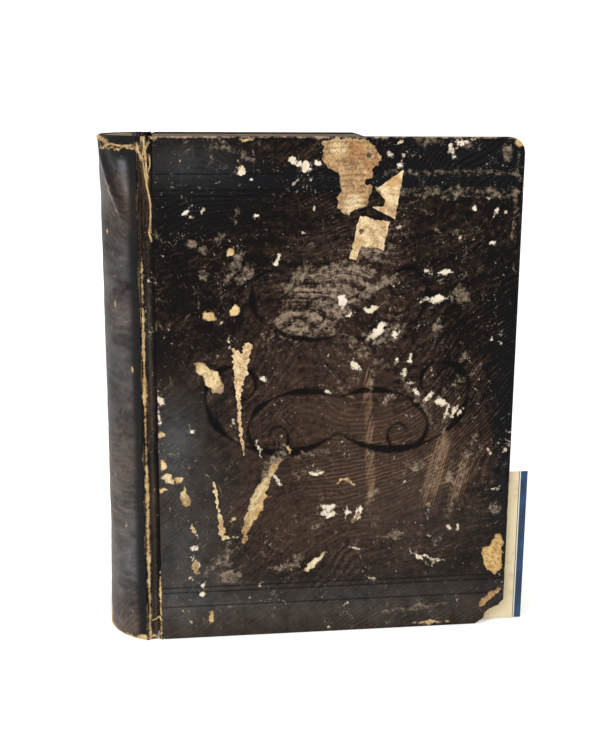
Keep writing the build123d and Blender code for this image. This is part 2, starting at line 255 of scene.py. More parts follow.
def _chain(flat: list, keys: dict) -> list[Array]:
    """Join the edges that only one of the flat polygons has into closed outlines.

    Args:
        flat: The polygons.
        keys: The rounded place of each point of the mesh, by its number.

    Returns:
        Closed outlines, longest first.
    """
    edges: set[tuple] = set()
    for polygon in flat:
        corners = [keys[i] for i in polygon.vertices]
        for start, end in zip(corners, corners[1:] + corners[:1]):
            if (end, start) in edges:
                edges.remove((end, start))
            else:
                edges.add((start, end))
    ahead: dict[tuple, list] = {}
    for start, end in edges:
        ahead.setdefault(start, []).append(end)
    loops = []
    while ahead:
        first = next(iter(sorted(ahead)))
        loop, spot = [first], first
        while spot in ahead:
            following = ahead[spot].pop()
            if not ahead[spot]:
                del ahead[spot]
            spot = following
            if spot == first:
                break
            loop.append(spot)
        loops.append(np.array(loop) - (places.edge_x, 0))
    return sorted(loops, key=lambda loop: -float(np.ptp(loop, axis=0).sum()))


def store(mesh: Mesh, name: str, values: Array) -> None:
    """Keep one number, or one place, for each point of a mesh.

    Args:
        mesh: The mesh.
        name: What the finish calls it.
        values: The numbers or places, in the points' order.
    """
    kind = "FLOAT" if values.ndim == 1 else "FLOAT_VECTOR"
    attribute = mesh.attributes.new(name, kind, "POINT")
    attribute.data.foreach_set("value" if values.ndim == 1 else "vector", values.astype(np.float32).ravel())


def points_of(mesh: Mesh) -> Array:
    """A mesh's points in millimetres.

    Args:
        mesh: The mesh.

    Returns:
        Its points, as rows of three.
    """
    flat = np.zeros(len(mesh.vertices) * 3, np.float32)
    mesh.vertices.foreach_get("co", flat)
    return flat.reshape(-1, 3).astype(float) / MM


def make_object(name: str, points: Array, faces: list, crease: float = 40.0) -> Object:
    """Make a mesh object with smooth sides and sharp edges.

    Args:
        name: The object's name.
        points: Points of the frame, in millimetres.
        faces: The points of each face, in order.
        crease: Edges that bend more than this many degrees stay sharp.

    Returns:
        The new object.
    """
    mesh = bpy.data.meshes.new(name)
    mesh.from_pydata((points * MM).tolist(), [], faces)
    mesh.update()
    mesh.shade_smooth()
    mesh.set_sharp_from_angle(angle=math.radians(crease))
    made = bpy.data.objects.new(name, mesh)
    bpy.context.scene.collection.objects.link(made)
    return made


def sheet(name: str, outer: Array, inner: Array, kept: Array | None = None) -> Object:
    """Closed sheet between two grids of points.

    Args:
        name: The object's name.
        outer: Grid of points on the outer side, rows by columns by three, in millimetres.
        inner: The same grid on the inner side.
        kept: Which cells of the grid are there, where the sheet has holes or a torn edge.

    Returns:
        The new object, with its places at rest stored.
    """
    rows, columns = outer.shape[:2]
    top = np.arange(rows * columns).reshape(rows, columns)
    if kept is None:
        kept = np.ones((rows - 1, columns - 1), bool)
    corners = (top[:-1, :-1], top[1:, :-1], top[1:, 1:], top[:-1, 1:])
    under = tuple(corner + rows * columns for corner in corners)
    framed = np.pad(kept, 1)
    bare = (
        kept & ~framed[1:-1, :-2],
        kept & ~framed[2:, 1:-1],
        kept & ~framed[1:-1, 2:],
        kept & ~framed[:-2, 1:-1],
    )
    groups = [
        np.stack([corner[kept] for corner in corners], axis=1),
        np.stack([corner[kept] for corner in reversed(under)], axis=1),
    ]
    for turn, open_side in enumerate(bare):
        start, end = turn, (turn + 1) % 4
        wall = (corners[end], corners[start], under[start], under[end])
        groups.append(np.stack([corner[open_side] for corner in wall], axis=1))
    faces = np.vstack(groups)
    used, faces = np.unique(faces, return_inverse=True)
    points = np.vstack([outer.reshape(-1, 3), inner.reshape(-1, 3)])
    first = faces.reshape(-1, 4)[0]
    a, b, d = points[used[first[0]]], points[used[first[1]]], points[used[first[3]]]
    outward = (outer.reshape(-1, 3) - inner.reshape(-1, 3))[used[first[0]] % (rows * columns)]
    faces = faces.reshape(-1, 4)
    if np.cross(b - a, d - a) @ outward < 0:
        faces = faces[:, ::-1]
    made = make_object(name, points[used], faces.tolist())
    store(made.data, "rest", points[used])
    return made


def dress(made: Object, stuff: Material) -> None:
    """Give a piece its finish and report it."""
    made.data.materials.append(stuff)
    log.info("%s: %d faces", made.name, len(made.data.polygons))


def prism(outline: Array, shallow: float, deep: float, first: int = 0) -> tuple[Array, list[list[int]]]:
    """Draw an outline on the front cover out between two depths.

    Args:
        outline: The outline, as rows of distance from the spine-side edge and height.
        shallow: Depth of its outer side below the cover's face, in millimetres.
        deep: Depth of its inner side.
        first: Number of its first point.

    Returns:
        Its points in the frame and its faces.
    """
    size = len(outline)
    along, up, depth = np.vstack([np.column_stack([outline, np.full(size, at)]) for at in (shallow, deep)]).T
    top = (first + np.arange(size)).tolist()
    low = [point + size for point in top]
    faces = [top, low[::-1]]
    faces += [[top[i], low[i], low[(i + 1) % size], top[(i + 1) % size]] for i in range(size)]
    return places.on_cover(1, along, up, depth), faces


def face_out(made: Object, split: bool = False) -> None:
    """Turn every face of an object outwards.

    Args:
        made: The object.
        split: Whether faces of more than four corners are split into triangles too.
    """
    work = bmesh.new()
    work.from_mesh(made.data)
    bmesh.ops.recalc_face_normals(work, faces=work.faces)
    if split:
        bmesh.ops.triangulate(work, faces=[face for face in work.faces if len(face.verts) > 4])
    work.to_mesh(made.data)
    work.free()


class Graph:
    """The nodes of one material or of the world, with lengths in millimetres."""

    def __init__(self, holder: Material | bpy.types.World) -> None:
        """Start with no nodes."""
        self.holder = holder
        holder.use_nodes = True
        self.tree = holder.node_tree
        self.tree.nodes.clear()

    def add(self, kind: str, inputs: dict | None = None, output: int = 0,
            **settings: object) -> Socket | None:
        """Add a node with its settings and links.

        Args:
            kind: The node's type, without the ShaderNode that it starts with.
            inputs: A value or another node's output for each named or numbered input.
            output: Which of the node's outputs comes back.
            settings: The node's own settings.

        Returns:
            The node's output, or None where it has none.
        """
        made = self.tree.nodes.new("ShaderNode" + kind)
        for name, value in settings.items():
            setattr(made, name, value)
        for key, value in (inputs or {}).items():
            if isinstance(value, Socket):
                self.tree.links.new(value, made.inputs[key])
            else:
                made.inputs[key].default_value = value
        return made.outputs[output] if made.outputs else None

    def rest_place(self) -> Socket:
        """Place at rest in millimetres, as stored on the book's own meshes."""
        return self.add("Attribute", output=1, attribute_name="rest")

    def object_place(self) -> Socket:
        """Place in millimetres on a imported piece, which stores none."""
        place = self.add("TexCoord", output=3)
        return self.add("VectorMath", {0: place, "Scale": 1 / MM}, operation="SCALE")

    def stored(self, name: str) -> Socket:
        """A number that the mesh stores for each point."""
        return self.add("Attribute", output=2, attribute_name=name)

    def torn_mask(self, distance: Socket, stray: Socket, depth: float, soft: float) -> Socket:
        """Share of a coat that lies inside a torn edge.

        Args:
            distance: Distance to the coat's edge in millimetres, less than zero inside.
            stray: Noise from 0 to 1 that tears the edge.
            depth: How far the tear strays, in millimetres.
            soft: Width of the edge, in millimetres.

        Returns:
            One inside and zero outside.
        """
        pulled = self.add("Math", {0: stray, 1: -depth, 2: depth / 2}, operation="MULTIPLY_ADD")
        edge = self.add("Math", {0: distance, 1: pulled}, operation="ADD")
        return self.add("MapRange", {0: edge, 1: -soft, 2: soft, 3: 1.0, 4: 0.0})

    def seen_directly(self) -> Socket:
        """One on camera, glossy and transmission rays, and zero on all others."""
        path = self.add("LightPath").node
        seen = self.add("Math", {0: path.outputs[0], 1: path.outputs[3]}, operation="MAXIMUM")
        return self.add("Math", {0: seen, 1: path.outputs[6]}, operation="MAXIMUM")

    def finish(self, colour: Socket, roughness: Socket | float, height: Socket, relief: float,
               specular: float, sheen: float = 0.0) -> Material:
        """Close the graph with a surface.

        Args:
            colour: Base colour.
            roughness: Surface roughness.
            height: Relief in millimetres.
            relief: Share of that relief that shows.
            specular: Specular level.
            sheen: Sheen weight of a fibrous surface.

        Returns:
            The finished material.
        """
        inputs = {"Base Color": colour, "Roughness": roughness, "Specular IOR Level": specular}
        if sheen:
            inputs |= {"Sheen Weight": sheen, "Sheen Roughness": 0.6}
        inputs["Normal"] = self.add("Bump", {"Height": height, "Strength": relief, "Distance": MM})
        self.add("OutputMaterial", {"Surface": self.add("BsdfPrincipled", inputs)})
        return self.holder


@dataclass(frozen=True)
class LeatherPatterns:
    """The nodes, places and noises that all the coats of one leather share."""

    graph: Graph
    place: Socket
    grain: Socket
    blotches: Socket
    streaks: Socket
    ripple: Socket


@dataclass(frozen=True)
class MoireLeather:
    """Split leather, embossed with a watered ripple, dyed black-brown and rubbed for a century.

    The ripple catches the light as fine wavering ridges. Where hands and shelves have rubbed it,
    the black top coat thins to brown, then to the tan core, and old paste has dried in pale smears.
    Each coat is a share and an ink, and the coats are laid over the dye in order.

    Args:
        name: The material's name.
        top: The dye where it is whole.
        cool: The dye round the borders, where it has kept its smooth bluish polish.
        rubbed: The brown that shows where the dye is thin.
        polish: Specular level of the dressed surface.
        ripple_painted_shading: How much darker the ripple's grooves and lighter its ridges are painted:
            painted shade and painted highlight in the dye.
        rarity: Raises the bar for flecks, so that fewer show.
    """

    name: str = "moire_leather_worn"
    top: str = "#0c0908"
    cool: str = "#101113"
    rubbed: str = "#45342a"
    polish: float = 0.05
    ripple_painted_shading: float = 0.75
    rarity: float = 0.0
    haze_and_highlight: str = "#968370"
    dust_and_sheen: str = "#50463d"
    cool_dust_and_sheen: str = "#4d4b4a"
    scraped: str = "#876b53"
    scratched: str = "#857565"
    core: str = "#dcc08e"
    dark_core: str = "#a58052"
    paste: str = "#e2d8c6"
    old_paste: str = "#cdbb9c"
    dust: str = "#8c7c69"
    stamp_and_shade_ink: str = "#060505"
    ripple_pitch: float = 2.7
    ripple_height: float = 0.05
    grain_height: float = 0.16
    pore_pitch: float = 0.9
    grain_pitch: float = 2.4
    blotch_pitch: float = 6.5
    patch_pitch: float = 26.0
    crowd_pitch: float = 15.0
    fleck_pitch: float = 0.95

    def build(self) -> Material:
        """Build the material."""
        graph = Graph(bpy.data.materials.new(self.name))
        place = graph.rest_place()
        noises = ((self.pore_pitch, 5.0, 0.65), (self.grain_pitch, 9.0, 0.78), (self.blotch_pitch, 6.0, 0.65))
        pores, grain, blotches = (
            graph.add("TexNoise", {0: place, "Scale": 1 / pitch, "Detail": detail, "Roughness": rough})
            for pitch, detail, rough in noises
        )
        streaks = self._streaks(graph, place)
        ripple = self._ripple(graph, pores, blotches, streaks)
        on = LeatherPatterns(graph, place, grain, blotches, streaks, ripple)
        dusty, tan, pale = self._worn_through(on)
        # The darkest coat: the stamped rules and ornament on the covers, and painted shade in the back's
        # hollows and the joints' grooves.
        stamp_and_shade = (graph.stored("stamp_and_shade"), linear(self.stamp_and_shade_ink))
        colour = self._ground(on)
        for share, ink in (self._dust_and_sheen_coat(on), self._haze_and_highlight_coat(on), self._scrapes(on), *self._scratches(on),
                           *self._flecks(on), stamp_and_shade, dusty, tan, pale):
            colour = graph.add("Mix", {0: share, 6: colour, 7: ink}, 2, data_type="RGBA")
        bare = graph.add("Math", {0: tan[0], 1: pale[0]}, operation="MAXIMUM")
        height = graph.add("Math", {0: ripple, 1: self.ripple_height}, operation="MULTIPLY")
        height = graph.add("Math", {0: grain, 1: self.grain_height, 2: height}, operation="MULTIPLY_ADD")
        rough = graph.add("MapRange", {0: blotches, 1: 0.3, 2: 0.7, 3: 0.42, 4: 0.62})
        rough = graph.add("Math", {0: bare, 1: 0.35, 2: rough}, operation="MULTIPLY_ADD")
        return graph.finish(colour, rough, height, 0.9, self.polish)

    @staticmethod
    def _streaks(graph: Graph, place: Socket) -> Socket:
        """Noise drawn out along the ripple.

        Args:
            graph: The material's nodes.
            place: Places in millimetres.

        Returns:
            The noise, from 0 to 1.
        """
        thin = graph.add("VectorMath", {0: place, "Scale": 0.11}, operation="SCALE")
        turned = graph.add("CombineXYZ", {0: graph.stored("ripple")})
        across = graph.add("VectorMath", {0: turned, "Scale": 0.38}, operation="SCALE")
        both = graph.add("VectorMath", {0: thin, 1: across}, operation="ADD")
        return graph.add("TexNoise", {0: both, "Scale": 1.0, "Detail": 5.0, "Roughness": 0.7})

    def _ripple(self, graph: Graph, pores: Socket, blotches: Socket, streaks: Socket) -> Socket:
        """Ridges of the watered ripple, broken by the pores.

        Args:
            graph: The material's nodes.
            pores: Noise that breaks the ridges finely.
            blotches: Noise that bends them.
            streaks: Noise that lets them fade.

        Returns:
            Height of the ridges, from -1 to 1.
        """
        turn = graph.add("Math", {0: graph.stored("ripple"), 1: math.tau / self.ripple_pitch},
                         operation="MULTIPLY")
        for noise, weight in ((pores, 5.5), (blotches, 6.0)):
            turn = graph.add("Math", {0: noise, 1: weight, 2: turn}, operation="MULTIPLY_ADD")
        wave = graph.add("Math", {0: turn}, operation="SINE")
        held = graph.add("MapRange", {0: streaks, 1: 0.42, 2: 0.6, 3: 0.25, 4: 1.0})
        held = graph.add("Math", {0: held, 1: graph.stored("watering")}, operation="MULTIPLY")
        return graph.add("Math", {0: wave, 1: held}, operation="MULTIPLY")

    def _ground(self, on: LeatherPatterns) -> Socket:
        """The dye: black and mottled, brown where it is rubbed, smooth and bluish round the borders, with
        painted shade in the ripple's grooves and painted highlight on its ridges.

        Args:
            on: The leather's patterns.

        Returns:
            Its colour.
        """
        graph = on.graph
        cool = graph.stored("cool")
        patches = graph.add("TexNoise", {0: on.place, "Scale": 1 / self.patch_pitch, "Detail": 6.0,
                                         "Roughness": 0.62})
        worn: Socket | float = -0.75
        for noise, weight in ((on.streaks, 1.5), (on.grain, 2.4), (patches, 1.0),
                              (graph.stored("rub"), 0.75), (cool, -0.55)):
            worn = graph.add("Math", {0: noise, 1: weight, 2: worn}, operation="MULTIPLY_ADD")
        worn = graph.add("MapRange", {0: worn, 1: 1.72, 2: 2.85, 3: 0.0, 4: 1.3}, clamp=False)
        worn = graph.add("Math", {0: worn, 1: 0.0}, operation="MAXIMUM")
        brown = linear(self.top)
        for share, ink in ((cool, self.cool), (worn, self.rubbed)):
            brown = graph.add("Mix", {0: share, 6: brown, 7: linear(ink)}, 2, data_type="RGBA")
        # Painted shade and highlight: the dye is darkened in the ripple's grooves and lightened on its
        # ridges.
        shade = graph.add("Math", {0: on.ripple, 1: self.ripple_painted_shading, 2: 1.0}, operation="MULTIPLY_ADD")
        return graph.add("VectorMath", {0: brown, "Scale": shade}, operation="SCALE")

    def _dust_and_sheen_coat(self, on: LeatherPatterns) -> tuple[Socket, Socket]:
        """Grey veil that is partly dust and partly painted sheen: it dulls the black and is thinner in the
        ripple's grooves.

        Args:
            on: The leather's patterns.

        Returns:
            Its share and its ink.
        """
        graph = on.graph
        # Dust and painted sheen: a grey veil, bluish where the dye is cool, a little lighter on the ripple's
        # ridges.
        ink = graph.add("Mix", {0: graph.stored("cool"), 6: linear(self.dust_and_sheen), 7: linear(self.cool_dust_and_sheen)}, 2,
                        data_type="RGBA")
        share = graph.add("MapRange", {0: on.blotches, 1: 0.35, 2: 0.65, 3: 0.45, 4: 1.0})
        share = graph.add("Math", {0: on.ripple, 1: 0.16, 2: share}, operation="MULTIPLY_ADD")
        share = graph.add("Math", {0: share, 1: graph.stored("dust_and_sheen")}, operation="MULTIPLY", use_clamp=True)
        return share, ink

    def _haze_and_highlight_coat(self, on: LeatherPatterns) -> tuple[Socket, Ink]:
        """Beige bloom of flour and dust, drawn out along the ripple, with painted highlights along the
        cover's head edge and the back's crease.

        Args:
            on: The leather's patterns.

        Returns:
            Its share and its ink.
        """
        graph = on.graph
        share: Socket | float = -1.6
        for noise, weight in ((on.streaks, 3.2), (on.grain, 4.0), (graph.stored("haze_and_highlight"), 1.0)):
            share = graph.add("Math", {0: noise, 1: weight, 2: share}, operation="MULTIPLY_ADD")
        share = graph.add("MapRange", {0: share, 1: 2.85, 2: 3.6, 3: 0.0, 4: 0.95})
        return share, linear(self.haze_and_highlight)

    def _scrapes(self, on: LeatherPatterns) -> tuple[Socket, Ink]:
        """Long rubbed scrapes that lean across the cover and catch the ripple's ridges.

        Args:
            on: The leather's patterns.

        Returns:
            Their share and their ink.
        """
        graph = on.graph
        drawn = graph.add("Mapping", {0: on.place, "Rotation": (0, math.radians(15), 0),
                                      "Scale": (0.75, 1.0, 30.0)}, vector_type="TEXTURE")
        lines = graph.add("TexNoise", {0: drawn, "Scale": 1.0, "Detail": 5.0, "Roughness": 0.75})
        share = graph.add("Math", {0: lines, 1: graph.stored("scrape")}, operation="MULTIPLY")
        for noise, weight in ((on.grain, 0.25), (on.ripple, 0.04)):
            share = graph.add("Math", {0: noise, 1: weight, 2: share}, operation="MULTIPLY_ADD")
        share = graph.add("MapRange", {0: share, 1: 0.55, 2: 0.74, 3: 0.0, 4: 0.8})
        return share, linear(self.scraped)

    def _scratches(self, on: LeatherPatterns) -> list[tuple[Socket, Ink]]:
        """Hair-fine scratches that cross each other: thin level lines of drawn-out noise.

        Args:
            on: The leather's patterns.

        Returns:
            Share and ink of the scratches of each direction.
        """
        graph, found = on.graph, []
        for lean, across in ((52, 5.0), (-24, 7.0)):
            drawn = graph.add("Mapping", {0: on.place, "Rotation": (0, math.radians(lean), 0),
                                          "Scale": (across, 1.0, 36.0)}, vector_type="TEXTURE")
            lines = graph.add("TexNoise", {0: drawn, "Scale": 1.0, "Detail": 3.0, "Distortion": 0.5})
            away = graph.add("Math", {0: lines, 1: 0.5}, operation="SUBTRACT")
            away = graph.add("Math", {0: away}, operation="ABSOLUTE")
            line = graph.add("MapRange", {0: away, 1: 0.004, 2: 0.014, 3: 1.0, 4: 0.0})
            moved = graph.add("VectorMath", {0: on.place, 1: (lean, 0, across)}, operation="ADD")
            there = graph.add("TexNoise", {0: moved, "Scale": 1 / 6.0, "Detail": 3.0, "Roughness": 0.6})
            there = graph.add("MapRange", {0: there, 1: 0.57, 2: 0.66, 3: 0.0, 4: 0.5})
            share = graph.add("Math", {0: line, 1: there}, operation="MULTIPLY")
            found.append((share, linear(self.scratched)))
        return found

    def _flecks(self, on: LeatherPatterns) -> list[tuple[Socket, Ink]]:
        """Flecks of lime, flour and paste in three sizes, thick in some places and thin in others.

        Args:
            on: The leather's patterns.

        Returns:
            Share and ink of the flecks of each size.
        """
        graph, found = on.graph, []
        crowd = graph.add("TexNoise", {0: on.place, "Scale": 1 / self.crowd_pitch, "Detail": 3.0,
                                       "Roughness": 0.6})
        for size, rare, ink, most in (
            (1.0, 0.955, "#8f8478", 0.6),
            (2.1, 0.96, "#a79a88", 0.75),
            (4.6, 0.97, "#c3b299", 0.85),
        ):
            spots = graph.add("TexNoise", {0: on.place, "Scale": 1 / (size * self.fleck_pitch), "Detail": 2.5,
                                           "Roughness": 0.55})
            spots = graph.add("Math", {0: crowd, 1: 0.5, 2: spots}, operation="MULTIPLY_ADD")
            bar = rare + self.rarity
            share = graph.add("MapRange", {0: spots, 1: bar, 2: bar + 0.06, 3: 0.0, 4: most})
            found.append((share, linear(ink)))
        return found

    def _worn_through(self, on: LeatherPatterns) -> tuple[tuple[Socket, Socket | Ink], ...]:
        """Dust, then tan core where the leather is rubbed through, then dried paste.

        Args:
            on: The leather's patterns.

        Returns:
            Share and ink of each of the three.
        """
        graph = on.graph
        dust = graph.torn_mask(graph.stored("dust"), on.grain, 9.0, 0.9)
        streaky = graph.add("MapRange", {0: on.grain, 1: 0.44, 2: 0.62, 3: 0.05, 4: 0.9})
        dust = graph.add("Math", {0: dust, 1: streaky}, operation="MULTIPLY")
        share = graph.add("MapRange", {0: on.blotches, 1: 0.35, 2: 0.65})
        core, dried = (
            graph.add("Mix", {0: share, 6: linear(low), 7: linear(high)}, 2, data_type="RGBA")
            for low, high in ((self.dark_core, self.core), (self.paste, self.old_paste))
        )
        edge, tan, pale = (
            graph.torn_mask(graph.stored(name), on.grain, depth, 0.3)
            for name, depth in (("edge", 3.0), ("tan", 4.2), ("pale", 7.0))
        )
        tan = graph.add("Math", {0: tan, 1: edge}, operation="MAXIMUM")
        return (dust, linear(self.dust)), (tan, core), (pale, dried)


class Fibre(Enum):
    """How the fibres of a paper, board or cloth lie."""

    FELTED = "felted"
    WOVEN = "woven"
    PRINTED = "printed"
    LEAVES = "leaves"


@dataclass(frozen=True)
class FibreStuff:
    """Paper, pasteboard or cotton: a matt fibrous surface that has browned with age.

    Felted fibres give soft mottling, a weave gives crossed threads, and faded print gives rows
    of broken brown marks with no letters in them.

    Args:
        name: The material's name.
        colour: Its colour where it is clean.
        aged: Its colour where it has browned.
        fibre: How its fibres lie.
        stain_pitch: Distance between its stains, in millimetres.
        fibre_pitch: Distance between its fibres.
        relief: How far the fibres stand up.
        packed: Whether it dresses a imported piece.
        print_from: Height above the tail from which its printed side shows.
        spots: Spots on it: distance from the front cover's spine-side edge, height, radius, colour.
    """

    name: str
    colour: str
    aged: str
    fibre: Fibre = Fibre.FELTED
    stain_pitch: float = 14.0
    fibre_pitch: float = 0.8
    relief: float = 0.05
    packed: bool = False
    print_from: float = 0.0
    spots: tuple[tuple[float, float, float, str], ...] = ()
    row_pitch: float = 2.6
    ink: str = "#5f4327"
    bleached: str = "#dfc99c"
    brown_leaf: str = "#7d6342"

    def build(self) -> Material:
        """Build the material."""
        graph = Graph(bpy.data.materials.new(self.name))
        place = graph.object_place() if self.packed else graph.rest_place()
        stains = graph.add("TexNoise", {0: place, "Scale": 1 / self.stain_pitch, "Detail": 6.0,
                                        "Roughness": 0.65})
        fibres = graph.add("TexNoise", {0: place, "Scale": 1 / self.fibre_pitch, "Detail": 4.0})
        share = graph.add("Math", {0: fibres, 1: 0.5, 2: stains}, operation="MULTIPLY_ADD")
        share = graph.add("MapRange", {0: share, 1: 0.5, 2: 1.05})
        colour = graph.add("Mix", {0: share, 6: linear(self.colour), 7: linear(self.aged)}, 2,
                           data_type="RGBA")
        if self.spots:
            colour = self._spotted(graph, place, stains, fibres, colour)
        height = graph.add("Math", {0: fibres, 1: self.relief}, operation="MULTIPLY")
        if self.fibre is Fibre.WOVEN:
            height = self._woven(graph, place, height)
        if self.fibre is Fibre.PRINTED:
            colour = self._printed(graph, place, colour)
        if self.fibre is Fibre.LEAVES:
            colour = self._leaves(graph, place, colour)
        return graph.finish(colour, 0.85, height, 1.0, 0.3, 0.15)

    def _spotted(self, graph: Graph, place: Socket, stains: Socket, fibres: Socket, colour: Socket) -> Socket:
        """Lay on round spots with wandering edges, then brown lumps of fibre.

        Args:
            graph: The material's nodes.
            place: Places in millimetres.
            stains: The noise of its stains.
            fibres: The noise of its fibres.
            colour: The colour so far.

        Returns:
            The spotted colour.
        """
        for along, up, radius, ink in self.spots:
            centre = (places.edge_x + along, places.front_y, up)
            away = graph.add("VectorMath", {0: place, 1: centre}, 1, operation="DISTANCE")
            for noise, weight in ((stains, -1.2 * radius), (fibres, -2.0)):
                away = graph.add("Math", {0: noise, 1: weight, 2: away}, operation="MULTIPLY_ADD")
            share = graph.add("MapRange", {0: away, 1: -1.0, 2: 0.4 * radius - 1.0, 3: 0.95, 4: 0.0})
            colour = graph.add("Mix", {0: share, 6: colour, 7: linear(ink)}, 2, data_type="RGBA")
        lumps = graph.add("Math", {0: fibres, 1: 0.8, 2: stains}, operation="MULTIPLY_ADD")
        lumps = graph.add("MapRange", {0: lumps, 1: 0.84, 2: 1.06, 3: 0.0, 4: 0.6})
        return graph.add("Mix", {0: lumps, 6: colour, 7: linear(self.aged)}, 2, data_type="RGBA",
                         blend_type="MULTIPLY")

    def _woven(self, graph: Graph, place: Socket, height: Socket) -> Socket:
        """Crossed threads, drawn at twice their real pitch so that they show.

        Args:
            graph: The material's nodes.
            place: Places in millimetres.
            height: The relief so far.

        Returns:
            The relief with the threads.
        """
        for direction in ("X", "Z"):
            wave = graph.add("TexWave", {0: place, "Scale": 0.28 / self.fibre_pitch, "Distortion": 0.6}, 1,
                             bands_direction=direction)
            height = graph.add("Math", {0: wave, 1: self.relief, 2: height}, operation="MULTIPLY_ADD")
        return height

    def _printed(self, graph: Graph, place: Socket, colour: Socket) -> Socket:
        """Rows of faded marks on the upper part, which has kept its print side out.

        Args:
            graph: The material's nodes.
            place: Places in millimetres.
            colour: The colour so far.

        Returns:
            The printed colour.
        """
        up = graph.add("SeparateXYZ", {0: place}, 2)
        shown = graph.add("MapRange", {0: up, 1: self.print_from, 2: self.print_from + 6.0})
        wander = graph.add("TexNoise", {0: place, "Scale": 0.12, "Detail": 2.0})
        row = graph.add("Math", {0: wander, 1: 3.5, 2: up}, operation="MULTIPLY_ADD")
        row = graph.add("Math", {0: row, 1: math.tau / self.row_pitch}, operation="MULTIPLY")
        row = graph.add("Math", {0: row}, operation="SINE")
        marks = graph.add("Mapping", {0: place, "Scale": (1.3, 1.0, 0.8)})
        marks = graph.add("TexNoise", {0: marks, "Scale": 1.0, "Detail": 4.0, "Roughness": 0.7})
        blur = graph.add("TexNoise", {0: place, "Scale": 0.16, "Detail": 4.0, "Roughness": 0.7})
        share = marks
        for noise, weight in ((row, 0.08), (blur, 0.6)):
            share = graph.add("Math", {0: noise, 1: weight, 2: share}, operation="MULTIPLY_ADD")
        share = graph.add("MapRange", {0: share, 1: 0.78, 2: 0.96, 3: 0.0, 4: 0.75})
        share = graph.add("Math", {0: share, 1: shown}, operation="MULTIPLY")
        clean = graph.add("Mix", {0: shown, 6: linear(self.bleached), 7: colour}, 2, data_type="RGBA")
        return graph.add("Mix", {0: share, 6: clean, 7: linear(self.ink)}, 2, data_type="RGBA")

    def _leaves(self, graph: Graph, place: Socket, colour: Socket) -> Socket:
        """Edges of many leaves, some browner than their neighbours.

        Args:
            graph: The material's nodes.
            place: Places in millimetres.
            colour: The colour so far.

        Returns:
            The colour of the leaves.
        """
        spread = graph.add("Mapping", {0: place, "Scale": (0.03, 2.2, 0.03)})
        strata = graph.add("TexNoise", {0: spread, "Scale": 1.0, "Detail": 5.0, "Roughness": 0.8})
        share = graph.add("MapRange", {0: strata, 1: 0.35, 2: 0.7, 3: 0.0, 4: 0.65})
        return graph.add("Mix", {0: share, 6: colour, 7: linear(self.brown_leaf)}, 2, data_type="RGBA")


@dataclass(frozen=True)
class LeafletCard:
    """Coated card, cream with a printed blue border: smooth, faintly glossy, soiled at its foot."""

    name: str = "leaflet_card_printed"
    cream: str = "#dccba6"
    soiled: str = "#8a744f"
    line: str = "#2b3342"
    gap: str = "#d4cfc0"
    blue: str = "#213f61"
    dull_blue: str = "#1f2f45"
    dirt_pitch: float = 9.0
    edge: float = 0.06

    def build(self) -> Material:
        """Build the material."""
        graph = Graph(bpy.data.materials.new(self.name))
        dirt = graph.add("TexNoise", {0: graph.rest_place(), "Scale": 1 / self.dirt_pitch, "Detail": 7.0,
                                      "Roughness": 0.7})
        share = graph.add("MapRange", {0: dirt, 1: 0.52, 2: 0.78, 3: 0.0, 4: 0.5})
        dull = graph.add("MapRange", {0: dirt, 1: 0.4, 2: 0.6})
        colour, blue = (
            graph.add("Mix", {0: part, 6: linear(clean), 7: linear(dirty)}, 2, data_type="RGBA")
            for part, clean, dirty in ((share, self.cream, self.soiled), (dull, self.blue, self.dull_blue))
        )
        for reach, ink in ((4.6, linear(self.line)), (4.2, linear(self.gap)), (3.6, blue)):
            band = graph.add("MapRange", {0: graph.stored("border"), 1: reach - self.edge,
                                          2: reach + self.edge, 3: 1.0, 4: 0.0})
            colour = graph.add("Mix", {0: band, 6: colour, 7: ink}, 2, data_type="RGBA")
        return graph.finish(colour, 0.6, dirt, 0.05, 0.3)


@dataclass(frozen=True)
class StudioWhite:
    """Matt white studio paper under and behind the book, which keeps its soft shadow."""

    name: str = "studio_paper_white"
    colour: str = "#f2f2f2"
    lift: float = 0.24

    def build(self) -> Material:
        """Build the material: a white sheet that the camera sees a little brighter."""
        graph = Graph(bpy.data.materials.new(self.name))
        paper = graph.add("BsdfDiffuse", {"Color": linear(self.colour)})
        lift = graph.add("Math", {0: graph.seen_directly(), 1: self.lift}, operation="MULTIPLY")
        glow = graph.add("Emission", {"Color": linear("#ffffff"), "Strength": lift})
        graph.add("OutputMaterial", {"Surface": graph.add("AddShader", {0: paper, 1: glow})})
        return graph.holder


class Coat(Enum):
    """What a mark on the front cover is made of."""

    CORE = "tan"
    PASTE = "pale"
    DUST = "dust"


def leaned(points: Array, along: float, up: float, lean: float) -> tuple[Array, Array]:
    """Distances of places along and across a leaning line.

    Args:
        points: Places on the cover.
        along: Distance of the line's middle from the spine-side edge.
        up: Its height.
        lean: The line's direction in degrees, anticlockwise from level.

    Returns:
        The distance along the line and the one across it.
    """
    turn = math.radians(lean)
    away = points - (along, up)
    return away @ (math.cos(turn), math.sin(turn)), away @ (-math.sin(turn), math.cos(turn))


@dataclass(frozen=True)
class Mark:
    """One rubbed or splashed mark on the front cover, as a lean oval.

    Args:
        along: Distance from the cover's spine-side edge, in millimetres.
        up: Height above the tail.
        reach: Half its length.
        half: Half its width.
        lean: Its direction in degrees, anticlockwise from level.
    """

    along: float
    up: float
    reach: float
    half: float
    lean: float = 0.0

    def distance(self, points: Array) -> Array:
        """Distance to the mark's edge, less than zero inside it."""
        length, across = leaned(points, self.along, self.up, self.lean)
        return (np.hypot(length / self.reach, across / self.half) - 1) * min(self.reach, self.half)


